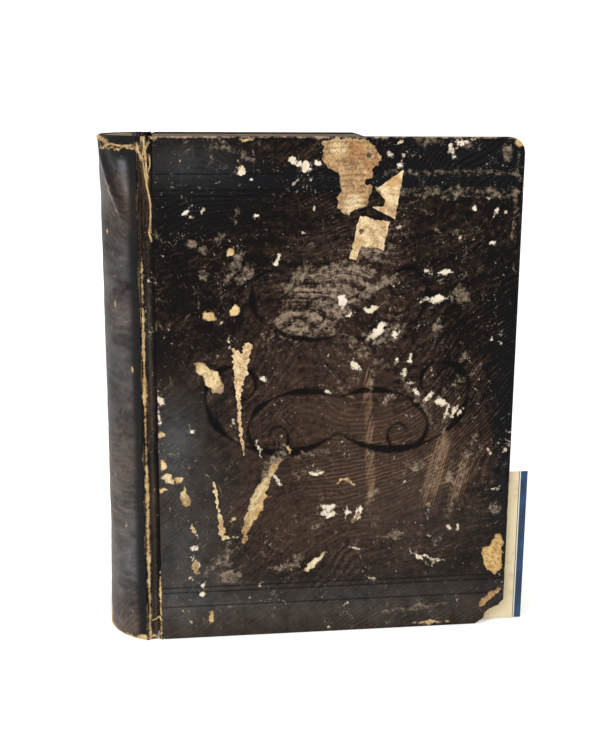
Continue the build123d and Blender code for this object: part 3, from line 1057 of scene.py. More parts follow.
@dataclass(frozen=True)
class Streak:
    """One drawn-out scratch or scrape on the front cover, widest in its middle."""

    path: tuple[tuple[float, float], ...]
    half: float

    def distance(self, points: Array) -> Array:
        """Distance to the scratch's edge, less than zero inside it."""
        taper = np.sin(np.linspace(0.25, math.pi - 0.25, len(self.path)))
        return path_distance(points, np.array(self.path, float), self.half * taper)


@dataclass(frozen=True)
class Glow:
    """A soft patch in which the dye is rubbed, faded, hazed, or veiled with dust and painted sheen: its
    middle, half sizes, strength and lean.
    """

    along: float
    up: float
    reach: float
    rise: float
    share: float
    lean: float = 0.0

    def amount(self, points: Array) -> Array:
        """How strongly the patch shows at each place."""
        length, across = leaned(points, self.along, self.up, self.lean)
        return self.share * np.exp(-((length / self.reach) ** 2 + (across / self.rise) ** 2))


MARKS = {
    Coat.PASTE: (
        Mark(42, 238, 2.0, 1.8, 30), Mark(47, 235, 0.8, 0.6), Mark(49, 217, 0.8, 0.7),
        Mark(16, 219, 1.6, 0.6, 35), Mark(59, 195, 2.4, 1.6, 60), Mark(66, 243, 1.8, 2.0, 20),
        Mark(70, 241, 1.6, 1.2, -30), Mark(73, 240, 1.9, 1.7, 70), Mark(78, 242, 2.2, 1.3, -20),
        Mark(119, 241, 1.0, 1.2), Mark(114, 245, 0.9, 0.7), Mark(117, 251, 1.6, 1.0, 20),
        Mark(143, 248, 2.6, 1.1, -70), Mark(148, 251, 2.0, 1.2, 20), Mark(156, 220, 0.8, 1.2),
        Mark(167, 219, 1.8, 0.7, 60), Mark(166, 203, 1.4, 1.4, 30), Mark(133, 189, 1.5, 0.8, -20),
        Mark(142, 188, 3.0, 0.8, 5), Mark(138, 175, 5.4, 1.1, 3), Mark(105, 171, 2.4, 1.8, -10),
        Mark(91, 175, 2.2, 3.2), Mark(109, 159, 5.6, 2.2, 42), Mark(118, 158, 2.0, 1.6),
        Mark(98, 142, 3.0, 1.2, -25), Mark(123, 138, 1.6, 1.0, 40), Mark(126, 145, 0.7, 1.6),
        Mark(119, 144, 0.8, 1.2), Mark(168, 155, 0.8, 0.8), Mark(171, 153, 0.6, 0.6),
        Mark(129, 128, 2.2, 1.3, -60), Mark(126, 133, 1.0, 0.8), Mark(136, 125, 3.0, 1.5, 25),
        Mark(143, 122, 2.6, 1.7, -30), Mark(146, 118, 2.0, 0.6, 70), Mark(149, 117, 2.4, 0.7, 72),
        Mark(153, 117, 1.8, 0.7, 75), Mark(84, 129, 1.6, 0.9, -10), Mark(17, 111, 1.2, 0.7, -50),
        Mark(60, 84, 1.9, 0.7, -55), Mark(79, 87, 2.8, 0.9, 0), Mark(85, 69, 3.6, 1.3, -3),
        Mark(85, 65, 3.0, 1.2, 8), Mark(101, 64, 3.6, 1.3, 70), Mark(95, 65, 0.8, 2.0),
        Mark(154, 56, 0.8, 2.0, 5), Mark(149, 55, 0.8, 0.9), Mark(99, 46, 2.0, 0.5, -25),
        Mark(172, 76, 1.8, 0.4, 8), Mark(17, 59, 2.6, 0.8, -65), Mark(18, 49, 2.2, 0.9, 10),
        Mark(18, 40, 1.5, 3.8, 5), Mark(22, 29, 1.6, 0.7, 80), Mark(21, 24, 0.9, 1.2),
        Mark(2, 126, 1.6, 2.6, 10), Streak(((93, 166), (98, 170)), 0.5),
        Streak(((129, 44), (133, 40), (138, 39), (143, 37), (148, 37)), 0.8),
        Streak(((48, 106), (51, 100), (52, 96)), 0.4), Streak(((33, 53), (40, 54)), 0.35),
        Streak(((50, 138), (53, 137), (55, 133)), 0.45), Streak(((35, 158), (36, 152)), 0.6),
        Streak(((0.6, 132), (0.6, 114)), 0.5),
    ),
    Coat.CORE: (
        Mark(44, 253, 2.8, 0.7, 3), Mark(177, 251, 2.6, 1.8, -35), Mark(36, 199, 1.8, 1.7, 20),
        Mark(26, 168, 3.2, 2.0, -8), Mark(38, 171, 2.6, 2.4, 35), Mark(2, 110, 1.6, 1.3),
        Mark(2, 94, 1.4, 2.6, 10), Mark(10, 86, 2.0, 1.9, 30), Mark(2, 81, 1.6, 1.2),
        Mark(37, 63, 1.4, 0.9, 15), Mark(43, 54, 1.0, 2.6, -8), Mark(65, 100, 0.9, 1.5, 15),
        Mark(25, 12, 1.1, 3.4), Streak(((53, 84), (51, 78), (49, 70), (45, 62), (42, 57)), 3.0),
        Streak(((90, 80), (92, 83), (95, 83), (99, 80)), 0.75),
        Streak(((132, 2), (142, 2.5), (152, 2)), 0.7),
    ),
    Coat.DUST: (
        Mark(31, 206, 2.0, 1.6), Mark(19, 204, 2.2, 1.8), Mark(24, 200, 2.0, 2.2, 40),
        Mark(24, 188, 2.2, 1.8), Mark(38, 192, 6.0, 1.6, 62), Mark(43, 188, 4.6, 1.9, 55),
        Mark(33, 250, 3.2, 1.1, -30), Mark(45, 244, 3.4, 1.0, -38), Mark(171, 247, 1.8, 3.2),
        Mark(151, 250, 2.0, 1.6), Mark(132, 252, 3.2, 0.8), Mark(148, 207, 1.8, 1.2),
        Mark(151, 178, 3.8, 3.0, -40), Mark(139, 161, 1.6, 2.6), Mark(70, 188, 5.6, 2.6, 48),
        Mark(65, 182, 4.0, 1.8, 10), Mark(70, 163, 5.2, 2.0, 18), Mark(98, 195, 2.6, 1.2, 50),
        Mark(98, 151, 3.4, 1.4, -40), Mark(113, 157, 9.0, 3.2, 15), Mark(115, 124, 3.8, 1.3, 30),
        Mark(153, 146, 1.4, 2.4), Mark(130, 89, 4.4, 2.0), Mark(149, 82, 1.8, 3.0),
        Mark(109, 76, 5.2, 1.8, 60), Mark(120, 52, 2.8, 2.6, -60), Mark(143, 48, 1.8, 2.2),
        Mark(173, 64, 2.6, 2.4), Mark(70, 40, 2.8, 3.0, -30), Mark(63, 37, 3.8, 1.6, 5),
        Mark(28, 40, 5.4, 1.1, 48), Mark(34, 44, 1.2, 5.0), Mark(36, 33, 5.4, 3.0),
        Mark(76, 97, 5.2, 0.7, 6), Mark(75, 88, 4.0, 0.8), Mark(80, 59, 2.6, 0.7, 20),
        Streak(((63, 101), (60, 96), (55, 91), (52, 83)), 2.2),
        Streak(((109, 153), (107, 138), (105, 126)), 0.6),
        Streak(((121, 136), (130, 124), (141, 110)), 0.7),
        Streak(((163, 141), (153, 134), (144, 127), (134, 119)), 0.6),
        Streak(((96, 174), (104, 179), (112, 184), (119, 188)), 2.0), Streak(((133, 212), (139, 208)), 0.5),
        Streak(((28, 251), (28, 241)), 0.45), Streak(((40, 219), (39, 214)), 0.4),
        Streak(((90, 158), (97, 156), (99, 149)), 0.9),
        Streak(((146, 116), (143, 100), (139, 80), (137, 58)), 0.6),
        Streak(((162, 106), (156, 88), (149, 62)), 0.5), Streak(((157, 96), (153, 84)), 0.6),
        # The four thin streaks at the upper right, along the stamped rules and down by the fore edge, are
        # painted highlights on those edges.
        Streak(((112, 237), (150, 237), (176, 236.5)), 0.25),
        Streak(((112, 229), (145, 228.5), (176, 228.5)), 0.25),
        Streak(((112, 226), (145, 226), (176, 226)), 0.25),
        Streak(((177, 246), (177, 230), (176, 205)), 0.25), Streak(((116, 10), (133, 11), (150, 13)), 0.7),
    ),
}
HAZES = (
    Glow(98, 190, 42, 14, 1.0, 48), Glow(80, 180, 24, 12, 1.0, 40), Glow(75, 164, 24, 9, 0.8, 20),
    Glow(112, 158, 18, 9, 0.9, 30), Glow(128, 182, 22, 5, 0.6, 30), Glow(66, 38, 10, 5, 0.9),
    Glow(35, 37, 9, 10, 0.9), Glow(119, 52, 7, 5, 0.7), Glow(140, 86, 32, 24, 0.45, 60),
    Glow(92, 132, 18, 12, 0.55, 30),
)
RUBS = (
    Glow(92, 180, 48, 34, 0.6, 40), Glow(120, 85, 52, 44, 0.9, 30), Glow(70, 120, 60, 30, 0.55),
    Glow(60, 60, 40, 30, 0.55),
)
COOLS = (
    Glow(18, 236, 26, 20, 1.0), Glow(90, 234, 110, 5, 1.0), Glow(150, 246, 40, 8, 0.8),
    Glow(8, 108, 14, 20, 1.0), Glow(10, 50, 22, 50, 0.7), Glow(90, 20, 110, 10, 0.6),
    Glow(177, 110, 8, 70, 0.8),
)
SCRAPES = (
    Glow(142, 86, 38, 8, 1.0, 75), Glow(155, 80, 34, 7, 0.95, 74), Glow(105, 128, 30, 4, 1.1, 91),
    Glow(107, 82, 28, 4, 0.95, 92), Glow(126, 98, 26, 13, 0.75, 78),
)
# Patches of the grey veil of dust and painted sheen on the front cover.
DUST_AND_SHEEN_PATCHES = (
    Glow(10, 50, 30, 60, 0.75), Glow(90, 12, 120, 18, 0.75), Glow(8, 108, 14, 20, 0.6),
    Glow(135, 60, 40, 26, 0.35), Glow(14, 242, 24, 10, 0.4),
)


@dataclass(frozen=True)
class Scroll:
    """Half of the stamped ornament's mirrored scroll: a start on the cover's middle line and its arcs.

    Args:
        rise: Height of its start above the cover's middle, in millimetres.
        heading: First direction in degrees.
        arcs: Radius in millimetres and turn in degrees of each arc.
        swell: Half the stroke's width where it is widest.
    """

    rise: float
    heading: float
    arcs: tuple[tuple[float, float], ...]
    swell: float = 2.0
    hairline: float = 0.55

    def path(self, hand: int) -> tuple[Array, Array]:
        """Middle line and half widths of the stroke on one side of the middle line.

        Args:
            hand: 1 for the side towards the fore edge and -1 for the other.

        Returns:
            The points on the cover and the half width at each.
        """
        spot = np.array([places.width / 2, places.height / 2 + self.rise])
        heading = math.radians(self.heading)
        points, halves = [spot.copy()], [self.hairline]
        for radius, turn in self.arcs:
            steps = max(4, round(abs(turn) / 9))
            bend = math.radians(turn) / steps
            for step in range(steps):
                heading += bend / 2
                chord = 2 * radius * math.sin(abs(bend) / 2)
                spot = spot + chord * np.array([hand * math.cos(heading), math.sin(heading)])
                heading += bend / 2
                points.append(spot.copy())
                share = math.sin(math.pi * (step + 1) / steps) ** 2
                halves.append(self.hairline + (self.swell - self.hairline) * share * min(1, radius / 18))
        return np.array(points), np.array(halves)


SCROLLS = (
    Scroll(-19, -38, ((46, 70), (30, 48), (15, 110), (9, 120), (5, 140)), 2.4),
    Scroll(-1, 25, ((40, -50), (22, -40), (12, -130), (7, -130), (4, -130)), 2.0),
    Scroll(31, -20, ((38, 60), (17, 75), (10, 110), (6, 130)), 1.8),
    Scroll(45, 60, ((10, -110), (6, -140), (3.5, -140)), 1.2),
)
RULES = tuple(centre for inset in (17.6, 25.3, 28.0) for centre in (inset, places.height - inset))


@dataclass
class Cover:
    """One leather-covered board, wrapped round its edges and turned in.

    Args:
        name: The object's name.
        side: 1 for the front cover and -1 for the rear one.
        pitch: Spacing of the leather's points, in millimetres.
        head_wear: How far the fore half of its head edge is worn down.
    """

    name: str
    side: int
    pitch: float
    head_wear: float = 0.0
    rim: float = 1.0
    turn_in: float = 15.0
    rule_half: float = 0.4
    rule_depth: float = 0.25
    stamp_depth: float = 0.32
    head_corner: float = 8.0
    tail_corner: float = 5.0
    spine_corner: float = 2.0
    lip: float = 0.05
    wear_from: float = 104.0
    wear_run: float = 8.0

    @property
    def node(self) -> str:
        """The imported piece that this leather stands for."""
        return "front_cover_leather" if self.side > 0 else "rear_cover_leather"

    def build(self, body: str, leather: Material) -> Object:
        """Make the leather and let it ride on its cover.

        Args:
            body: The cover's body.
            leather: The finish.

        Returns:
            The leather as one object.
        """
        along, up = self._lines()
        grid_u, grid_v = np.meshgrid(along, up, indexing="ij")
        flat = self._rounded(np.stack([grid_u, grid_v], axis=-1).reshape(-1, 2))
        depth = self._relief(flat)
        count_u, count_v = len(along), len(up)
        index = np.arange(count_u * count_v).reshape(count_u, count_v)
        loop = np.concatenate([index[:, 0], index[-1, 1:], index[-2::-1, -1], index[0, -2:0:-1]])
        points, faces = self._rim(flat, depth, loop)
        cells = np.stack([index[:-1, :-1], index[1:, :-1], index[1:, 1:], index[:-1, 1:]], axis=-1)
        faces = cells.reshape(-1, 4).tolist() + faces
        made = make_object(self.name, self._placed(points), faces, 50)
        face_out(made)
        if self.side > 0:
            self._cut_losses(made)
        self._store_wear(made.data)
        made.data.materials.clear()
        dress(made, leather)
        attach(made, body)
        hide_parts(self.node)
        return made

    def _lines(self) -> tuple[Array, Array]:
        """Grid lines along and up the cover, closer together at the stamped lines.

        Returns:
            Their distances from the spine-side edge, and their heights.
        """
        inner_width, inner_height = places.width - 2 * self.rim, places.height - 2 * self.rim
        along = self.rim + np.linspace(0, inner_width, round(inner_width / self.pitch) + 1)
        up = self.rim + np.linspace(0, inner_height, round(inner_height / self.pitch) + 1)
        steps = (-1.6, -1.0, -0.5, 0.0, 0.5, 1.0, 1.6)
        close = [centre + self.rule_half * step for centre in RULES for step in steps]
        far = np.min(np.abs(up[:, None] - np.array(close)[None]), axis=1) > 0.3 * self.pitch
        far[[0, -1]] = True
        return along, np.sort(np.concatenate([up[far], close]))

    def _corners(self) -> list[tuple[Array, tuple[int, int]]]:
        """Find the rounded corners of the face.

        Returns:
            The centre of each corner's arc, and its directions into the face.
        """
        low, width, height = self.rim, places.width - self.rim, places.height - self.rim
        found = []
        for corner_u, corner_v, corner in (
            (low, low, self.spine_corner),
            (low, height, self.spine_corner),
            (width, low, self.tail_corner),
            (width, height, self.head_corner),
        ):
            radius = corner - self.rim
            inward = (1 if corner_u < places.width / 2 else -1, 1 if corner_v < places.height / 2 else -1)
            centre = np.array([corner_u + inward[0] * radius, corner_v + inward[1] * radius])
            found.append((centre, inward))
        return found

    def _rounded(self, flat: Array) -> Array:
        """Round the corners of the square grid of places.

        Args:
            flat: Places of the grid.

        Returns:
            The same places, drawn in at the corners.
        """
        flat = flat.copy()
        for centre, inward in self._corners():
            away = (centre - flat) * inward
            near = (away > 0).all(axis=1)
            pulled = away[near] * (away[near].max(axis=1) / np.linalg.norm(away[near], axis=1))[:, None]
            flat[near] = centre - pulled * inward
        return flat

    def _outward(self, spots: Array) -> Array:
        """Find the direction out of the cover's face along its edge.

        Args:
            spots: Places of the edge.

        Returns:
            A direction of length one for each.
        """
        out = np.zeros_like(spots)
        for axis, size in enumerate((places.width, places.height)):
            out[np.abs(spots[:, axis] - self.rim) < 1e-6, axis] = -1
            out[np.abs(spots[:, axis] - (size - self.rim)) < 1e-6, axis] = 1
        for centre, inward in self._corners():
            near = ((centre - spots) * inward > -1e-6).all(axis=1)
            out[near] = spots[near] - centre
        return out / np.linalg.norm(out, axis=1)[:, None]

    def _rim(self, flat: Array, depth: Array, loop: Array) -> tuple[Array, list]:
        """Wrap the leather round the board's edges and turn it in.

        Args:
            flat: Places of the outer face.
            depth: Depth of each.
            loop: Which of them run round its edge.

        Returns:
            All the points, and the faces beyond the outer face.
        """
        spots, out = flat[loop], self._outward(flat[loop])
        bare = (spots[:, 0] < 1.5 * self.rim) & (np.abs(spots[:, 1] - places.height / 2)
                                                 < places.height / 2 - self.turn_in)
        under = places.skin_depth - places.leather
        deep = np.where(bare, under + self.lip, places.skin_depth)
        turned = np.stack([
            np.clip(spots[:, 0], self.rim + self.lip, places.width - self.turn_in),
            np.clip(spots[:, 1], self.turn_in, places.height - self.turn_in),
        ], axis=1)
        turned = np.where(bare[:, None], spots - out * self.lip, 0.98 * turned + 0.02 * spots)
        outline = spots + out * (self.rim - places.leather)
        quarter = np.radians((22.5, 45.0, 67.5, 90.0))
        rings = [(spots + out * self.rim * math.sin(a), np.full(len(spots), self.rim * (1 - math.cos(a))))
                 for a in quarter]
        rings += [(spots + out * self.rim * math.cos(a), deep - self.rim * (1 - math.sin(a)))
                  for a in (0.0, *quarter[:-1])]
        rings += [(spots, deep), (turned, deep), (turned, np.full(len(spots), under)),
                  (outline, np.full(len(spots), under)), (outline, np.full(len(spots), places.leather))]
        groups = [np.column_stack([flat, depth])]
        faces: list[list[int]] = []
        last = loop
        for ring, ring_depth in rings:
            first = sum(len(group) for group in groups)
            groups.append(np.column_stack([ring, ring_depth]))
            new = np.arange(first, first + len(loop))
            pairs = np.stack([np.roll(last, -1), last, new, np.roll(new, -1)], axis=1)
            faces += pairs.tolist()
            last = new
        faces.append(last.tolist())
        return np.vstack(groups), faces

    def _placed(self, points: Array) -> Array:
        """Put points into the frame, with the head edge worn down.

        Args:
            points: Rows of distance from the spine-side edge, height and depth.

        Returns:
            Points of the frame, in millimetres.
        """
        along, up, depth = points.T
        worn = self.head_wear * ease(along, self.wear_from, self.wear_from + self.wear_run)
        up = up - worn * ease(up, 0.8 * places.height, places.height)
        return places.on_cover(self.side, along, up, depth)

    def _relief(self, flat: Array) -> Array:
        """Depth of the outer face: stamped lines, ornament, dents and unevenness.

        Args:
            flat: Places on the cover.

        Returns:
            The depth of each below the plain face, in millimetres.
        """
        depth = 0.04 + 0.04 * value_noise(flat, 17, 3) + 0.015 * value_noise(flat, 3.5, 4)
        for centre in RULES:
            away = np.abs(flat[:, 1] - centre)
            depth += self.rule_depth * (1 - ease(away, 0.3 * self.rule_half, 1.7 * self.rule_half))
        if self.side > 0:
            depth += self.stamp_depth * (1 - ease(self._ornament(flat), -0.8, 0.35))
            depth += 0.12 * (1 - ease(self._coat(flat, Coat.CORE), -0.6, 0.5))
        return np.maximum(depth, 0)

    def _ornament(self, flat: Array) -> Array:
        """Distance to the stamped ornament's edge."""
        strokes = [path_distance(flat, *scroll.path(hand)) for scroll in SCROLLS for hand in (1, -1)]
        return np.min(strokes, axis=0)

    @staticmethod
    def _coat(flat: Array, coat: Coat) -> Array:
        """Distance to the nearest mark of one coat, with wandering edges.

        Args:
            flat: Places on the cover.
            coat: What the marks are made of.

        Returns:
            The distance at each place, less than zero inside a mark.
        """
        stray = [
            1.0 * value_noise(flat, 3.6, seed) + 0.55 * value_noise(flat, 1.4, seed + 1) for seed in (90, 92)
        ]
        torn = flat + np.stack(stray, axis=1)
        found = [mark.distance(torn) for mark in MARKS[coat]]
        return np.clip(np.min(found, axis=0), -UNMARKED, UNMARKED)

    def _losses(self) -> list[Array]:
        """Outlines of the chips through the outer leather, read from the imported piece."""
        loops = face_loops(self.node, places.leather, self.side)
        return [loop for loop in loops[1:] if len(loop) > 3]

    def _cut_losses(self, made: Object) -> None:
        """Tear the chips and the broken corner out of the leather.

        Args:
            made: The whole leather.
        """
        prisms = [(loop, -1.0, places.leather + 0.1) for loop in self._losses()]
        prisms.append((self._broken_corner(), -2.0, places.skin_depth + 2.0))
        points: list[Array] = []
        faces: list[list[int]] = []
        for number, (loop, shallow, deep) in enumerate(prisms):
            outline = ragged(loop, 0.7, 0.9, 40 + number)
            ahead = np.roll(outline, -1, axis=0)
            if (outline[:, 0] * ahead[:, 1] - ahead[:, 0] * outline[:, 1]).sum() < 0:
                outline = outline[::-1]
            block, sides = prism(outline, shallow, deep, sum(len(other) for other in points))
            points.append(block)
            faces += sides
        tool = make_object("loss_tool", np.vstack(points), faces)
        cut = made.modifiers.new("losses", "BOOLEAN")
        cut.operation, cut.object, cut.solver = "DIFFERENCE", tool, "MANIFOLD"
        graph = bpy.context.evaluated_depsgraph_get()
        mesh = bpy.data.meshes.new_from_object(made.evaluated_get(graph))
        made.modifiers.clear()
        made.data = mesh
        mesh.shade_smooth()
        mesh.set_sharp_from_angle(angle=math.radians(50))
        bpy.data.objects.remove(tool)

    def _broken_corner(self) -> Array:
        """Outline of the corner that is broken away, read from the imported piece.

        Returns:
            Its outline, as rows of distance from the spine-side edge and height.
        """
        rim = face_loops(self.node, places.leather, self.side)[0]
        low_fore = rim[(rim[:, 0] > places.width - 22) & (rim[:, 1] < 18)]
        low_fore = low_fore[np.argsort(low_fore[:, 0])]
        past = (places.width + 3, -3)
        return np.vstack([[low_fore[0, 0] - 1.5, -3], low_fore, [past[0], low_fore[-1, 1] + 2], past])

    def _store_wear(self, mesh: Mesh) -> None:
        """Store what the finish needs: places, ripple, wear, marks, stamping, and painted sheen and
        highlight.

        Args:
            mesh: The leather's mesh.
        """
        points = points_of(mesh)
        store(mesh, "rest", points)
        flat = np.stack([points[:, 0] - places.edge_x, points[:, 2]], axis=1)
        depth = self.side * (points[:, 1] - places.face(self.side))
        outer = 1 - ease(depth, 0.5, 1.0)
        low_pitch = value_noise(flat, 62, 7) * 22 + value_noise(flat, 24, 8) * 5
        store(mesh, "ripple", flat[:, 1] * 0.82 - flat[:, 0] * 0.5 + low_pitch)
        water = 0.55 + 0.45 * value_noise(flat, 30, 9) + 0.25 * ease(flat[:, 0], 60, 130)
        store(mesh, "watering", np.clip(water, 0.15, 1.0) * outer)
        # Painted highlight along the cover's head edge, laid with the beige haze.
        rim = 1.2 * ease(flat[:, 1], places.height - 1.3, places.height - 0.7)
        glows = {"rub": RUBS, "haze_and_highlight": HAZES, "cool": COOLS, "scrape": SCRAPES, "dust_and_sheen": DUST_AND_SHEEN_PATCHES}
        for name, group in glows.items():
            amount = np.clip(np.sum([glow.amount(flat) for glow in group], axis=0), 0, 1)
            if name == "haze_and_highlight":
                amount = np.maximum(amount, rim)
            store(mesh, name, amount * outer * (1.0 if self.side > 0 else 0.55))
        to_fore, to_head = places.width - flat[:, 0], places.height - flat[:, 1]
        away = np.minimum.reduce([flat[:, 0], to_fore, flat[:, 1], to_head])
        worn = 0.9 * value_noise(flat, 21, 11) + 0.6 * value_noise(flat, 6, 12) - 0.75
        corner = np.hypot(to_fore, to_head)
        worn += 2.2 * (1 - ease(corner, 3, 8))
        store(mesh, "edge", np.clip(away - np.maximum(worn, -0.4), -3, 4))
        from_rule = np.min([np.abs(flat[:, 1] - centre) for centre in RULES], axis=0)
        stamp_and_shade = 0.6 * (1 - ease(from_rule, 0.15, 0.6))
        coats = {coat.value: np.full(len(flat), UNMARKED) for coat in Coat}
        if self.side > 0:
            stamp_and_shade = np.maximum(stamp_and_shade, 0.95 * (1 - ease(self._ornament(flat), -0.7, 0.4)))
            coats = {coat.value: self._coat(flat, coat) for coat in Coat}
        store(mesh, "stamp_and_shade", stamp_and_shade * outer)
        for name, distance in coats.items():
            store(mesh, name, np.where(outer > 0.5, distance, UNMARKED))


@dataclass
class Back:
    """The rounded back: leather over a card, torn and crushed at its head and worn at its tail."""

    radius: float = 32.25
    half_angle: float = 65.9
    card_half_angle: float = 60.0
    card: float = 0.4
    sink: float = 1.15
    tear_depth: float = 5.5
    split_depth: float = 0.55
    per_degree: float = 0.56
    card_gap: float = 0.05
    fine_head: float = 16.0
    chips: tuple[tuple[float, float, float], ...] = (
        (20, 173, 0.6), (31, 142, 0.7), (14, 208, 0.5), (24, 60, 0.5),
    )

    def build(self, leather: Material, card: Material) -> list[Object]:
        """Make the leather and its card, and let them ride on the book.

        Args:
            leather: The finish of the leather.
            card: The finish of the card.

        Returns:
            The leather and the card.
        """
        angles = np.radians(np.linspace(-self.half_angle, self.half_angle, 112))
        fine = places.height - self.fine_head
        rows = np.concatenate([np.linspace(0, fine, 200)[:-1], np.linspace(fine, places.height - 0.05, 50)])
        turn, up = np.meshgrid(angles, rows, indexing="ij")
        outer = self._surface(turn, up, 0.0)
        inner = self._surface(turn, up, places.leather)
        skin = sheet("spine_skin", outer, inner)
        self._store_wear(skin.data)
        self._finish(skin, leather, "spine_leather")
        angles = np.radians(np.linspace(-self.card_half_angle, self.card_half_angle, 60))
        rows = np.linspace(places.leather, places.height - places.leather, 90)
        turn, up = np.meshgrid(angles, rows, indexing="ij")
        below = places.leather + self.card_gap
        outer, inner = (self._surface(turn, up, depth) for depth in (below, below + self.card))
        stiff = sheet("spine_card", outer, inner)
        self._finish(stiff, card, "spine_inlay")
        return [skin, stiff]

    def _finish(self, made: Object, stuff: Material, node: str) -> None:
        """Dress a piece of the back and let it ride on the book.

        Args:
            made: The piece.
            stuff: Its finish.
            node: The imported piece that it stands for.
        """
        dress(made, stuff)
        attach(made, BOOK)
        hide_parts(node)

    def _torn(self, degrees: Array) -> Array:
        """How much of the head edge is torn away at each angle.

        Args:
            degrees: Angles from the middle of the back.

        Returns:
            The height that is lost at each, in millimetres.
        """
        flat = np.stack([degrees.ravel() * self.per_degree, np.zeros(degrees.size)], axis=1)
        rough = value_noise(flat, 2.2, 21) + 0.7 * value_noise(flat, 0.9, 22)
        torn = ease(-degrees.ravel(), 6, 16) * self.tear_depth
        return (torn + 0.35 + 0.5 * rough * (0.5 + torn / self.tear_depth)).clip(0.05).reshape(degrees.shape)

    def _surface(self, turn: Array, up: Array, below: float) -> Array:
        """Points of the back at some depth below its outer face.

        Args:
            turn: Angles from the middle of the back, in radians, positive towards the rear.
            up: Heights above the tail.
            below: Depth below the outer face.

        Returns:
            Points of the frame, in millimetres.
        """
        degrees = np.degrees(turn)
        edge = ease(self.half_angle - np.abs(degrees), 0, 14)
        middle = ease(up, 2, 55) * (1 - 0.5 * ease(up, places.height - 40, places.height - 4))
        radius = self.radius - below - self.sink * middle * edge
        flat = np.stack([degrees.ravel() * self.per_degree, up.ravel()], axis=1)
        waves = 0.14 * value_noise(flat, 9, 23) + 0.06 * value_noise(flat, 3.4, 24)
        radius = radius + waves.reshape(turn.shape) * edge
        radius = radius - self._crushed(degrees, up) * edge
        tear = places.height - self._torn(degrees)
        lost = ease(up, tear - 0.3, tear + 0.2)
        radius = radius - self.split_depth * lost * ease(self.half_angle - np.abs(degrees), 0, 3)
        centre = places.back_x + self.radius
        across = centre - radius * np.cos(turn)
        return np.stack([across, places.middle_y + radius * np.sin(turn), up], axis=-1)

    @staticmethod
    def _crease(up: Array) -> Array:
        """Angle of the slanting crease at each height, in degrees."""
        return -3.3 - 1.1 * (places.height - up)

    @staticmethod
    def spots(*spots: tuple[float, float, float]) -> Array:
        """Points of the frame for angles in degrees, heights and depths below the outer face.

        Args:
            spots: Angle in degrees, height and depth below the outer face of each, in millimetres.

        Returns:
            Points of the frame, in millimetres.
        """
        degrees, up, below = np.array(spots, float).T
        radius, turn = Back.radius - below, np.radians(degrees)
        across = places.back_x + Back.radius - radius * np.cos(turn)
        return np.stack([across, places.middle_y + radius * np.sin(turn), up], axis=1)

    def _crushed(self, degrees: Array, up: Array) -> Array:
        """How far the head is crushed in: a hollow beside a slanting crease, and a bulge before it.

        Args:
            degrees: Angles from the middle of the back.
            up: Heights above the tail.

        Returns:
            How far the back lies in at each, in millimetres.
        """
        beside = degrees - self._crease(up)
        fade = 1 - ease(places.height - up, 20, 42)
        hollow = np.exp(-((beside + 13) / 8.5) ** 2) * 0.9
        ridge = np.exp(-(beside / 4.5) ** 2) * 0.35
        bulge = np.exp(-((beside + 30) / 9) ** 2) * 0.35
        return fade * (hollow - bulge - ridge)

    def _store_wear(self, mesh: Mesh) -> None:
        """Store the leather's ripple and wear, and its painted shade, sheen and highlight.

        Args:
            mesh: The leather's mesh.
        """
        points = points_of(mesh)
        centre = places.back_x + self.radius
        degrees = np.degrees(np.arctan2(points[:, 1] - places.middle_y, centre - points[:, 0]))
        flat = np.stack([degrees * self.per_degree, points[:, 2]], axis=1)
        up = points[:, 2]
        drop = places.height - up
        store(mesh, "ripple", flat[:, 1] * 0.9 + flat[:, 0] * 0.45 + value_noise(flat, 34, 27) * 16)
        store(mesh, "watering", np.clip(0.5 + 0.5 * value_noise(flat, 16, 28), 0.1, 1))
        store(mesh, "rub", np.clip(0.5 + 0.5 * value_noise(flat, 24, 29), 0, 1))
        # Painted highlight along the crest of the crease at the head, laid with the beige haze.
        ridge = np.exp(-(((degrees - self._crease(up) - 1.0) / 1.8) ** 2)) * ease(drop, 8, 14)
        ridge = ridge * (1 - ease(drop, 30, 44))
        store(mesh, "haze_and_highlight", np.clip(np.maximum(0.3 * value_noise(flat, 24, 30) + 0.1, 1.6 * ridge), 0, 1.6))
        store(mesh, "cool", np.clip(0.35 + 0.6 * value_noise(flat, 38, 26) + ease(-drop, -30, -8), 0, 1))
        store(mesh, "scrape", np.zeros(len(flat)))
        store(mesh, "dust_and_sheen", self._dust_and_sheen_coat(degrees, up, flat))
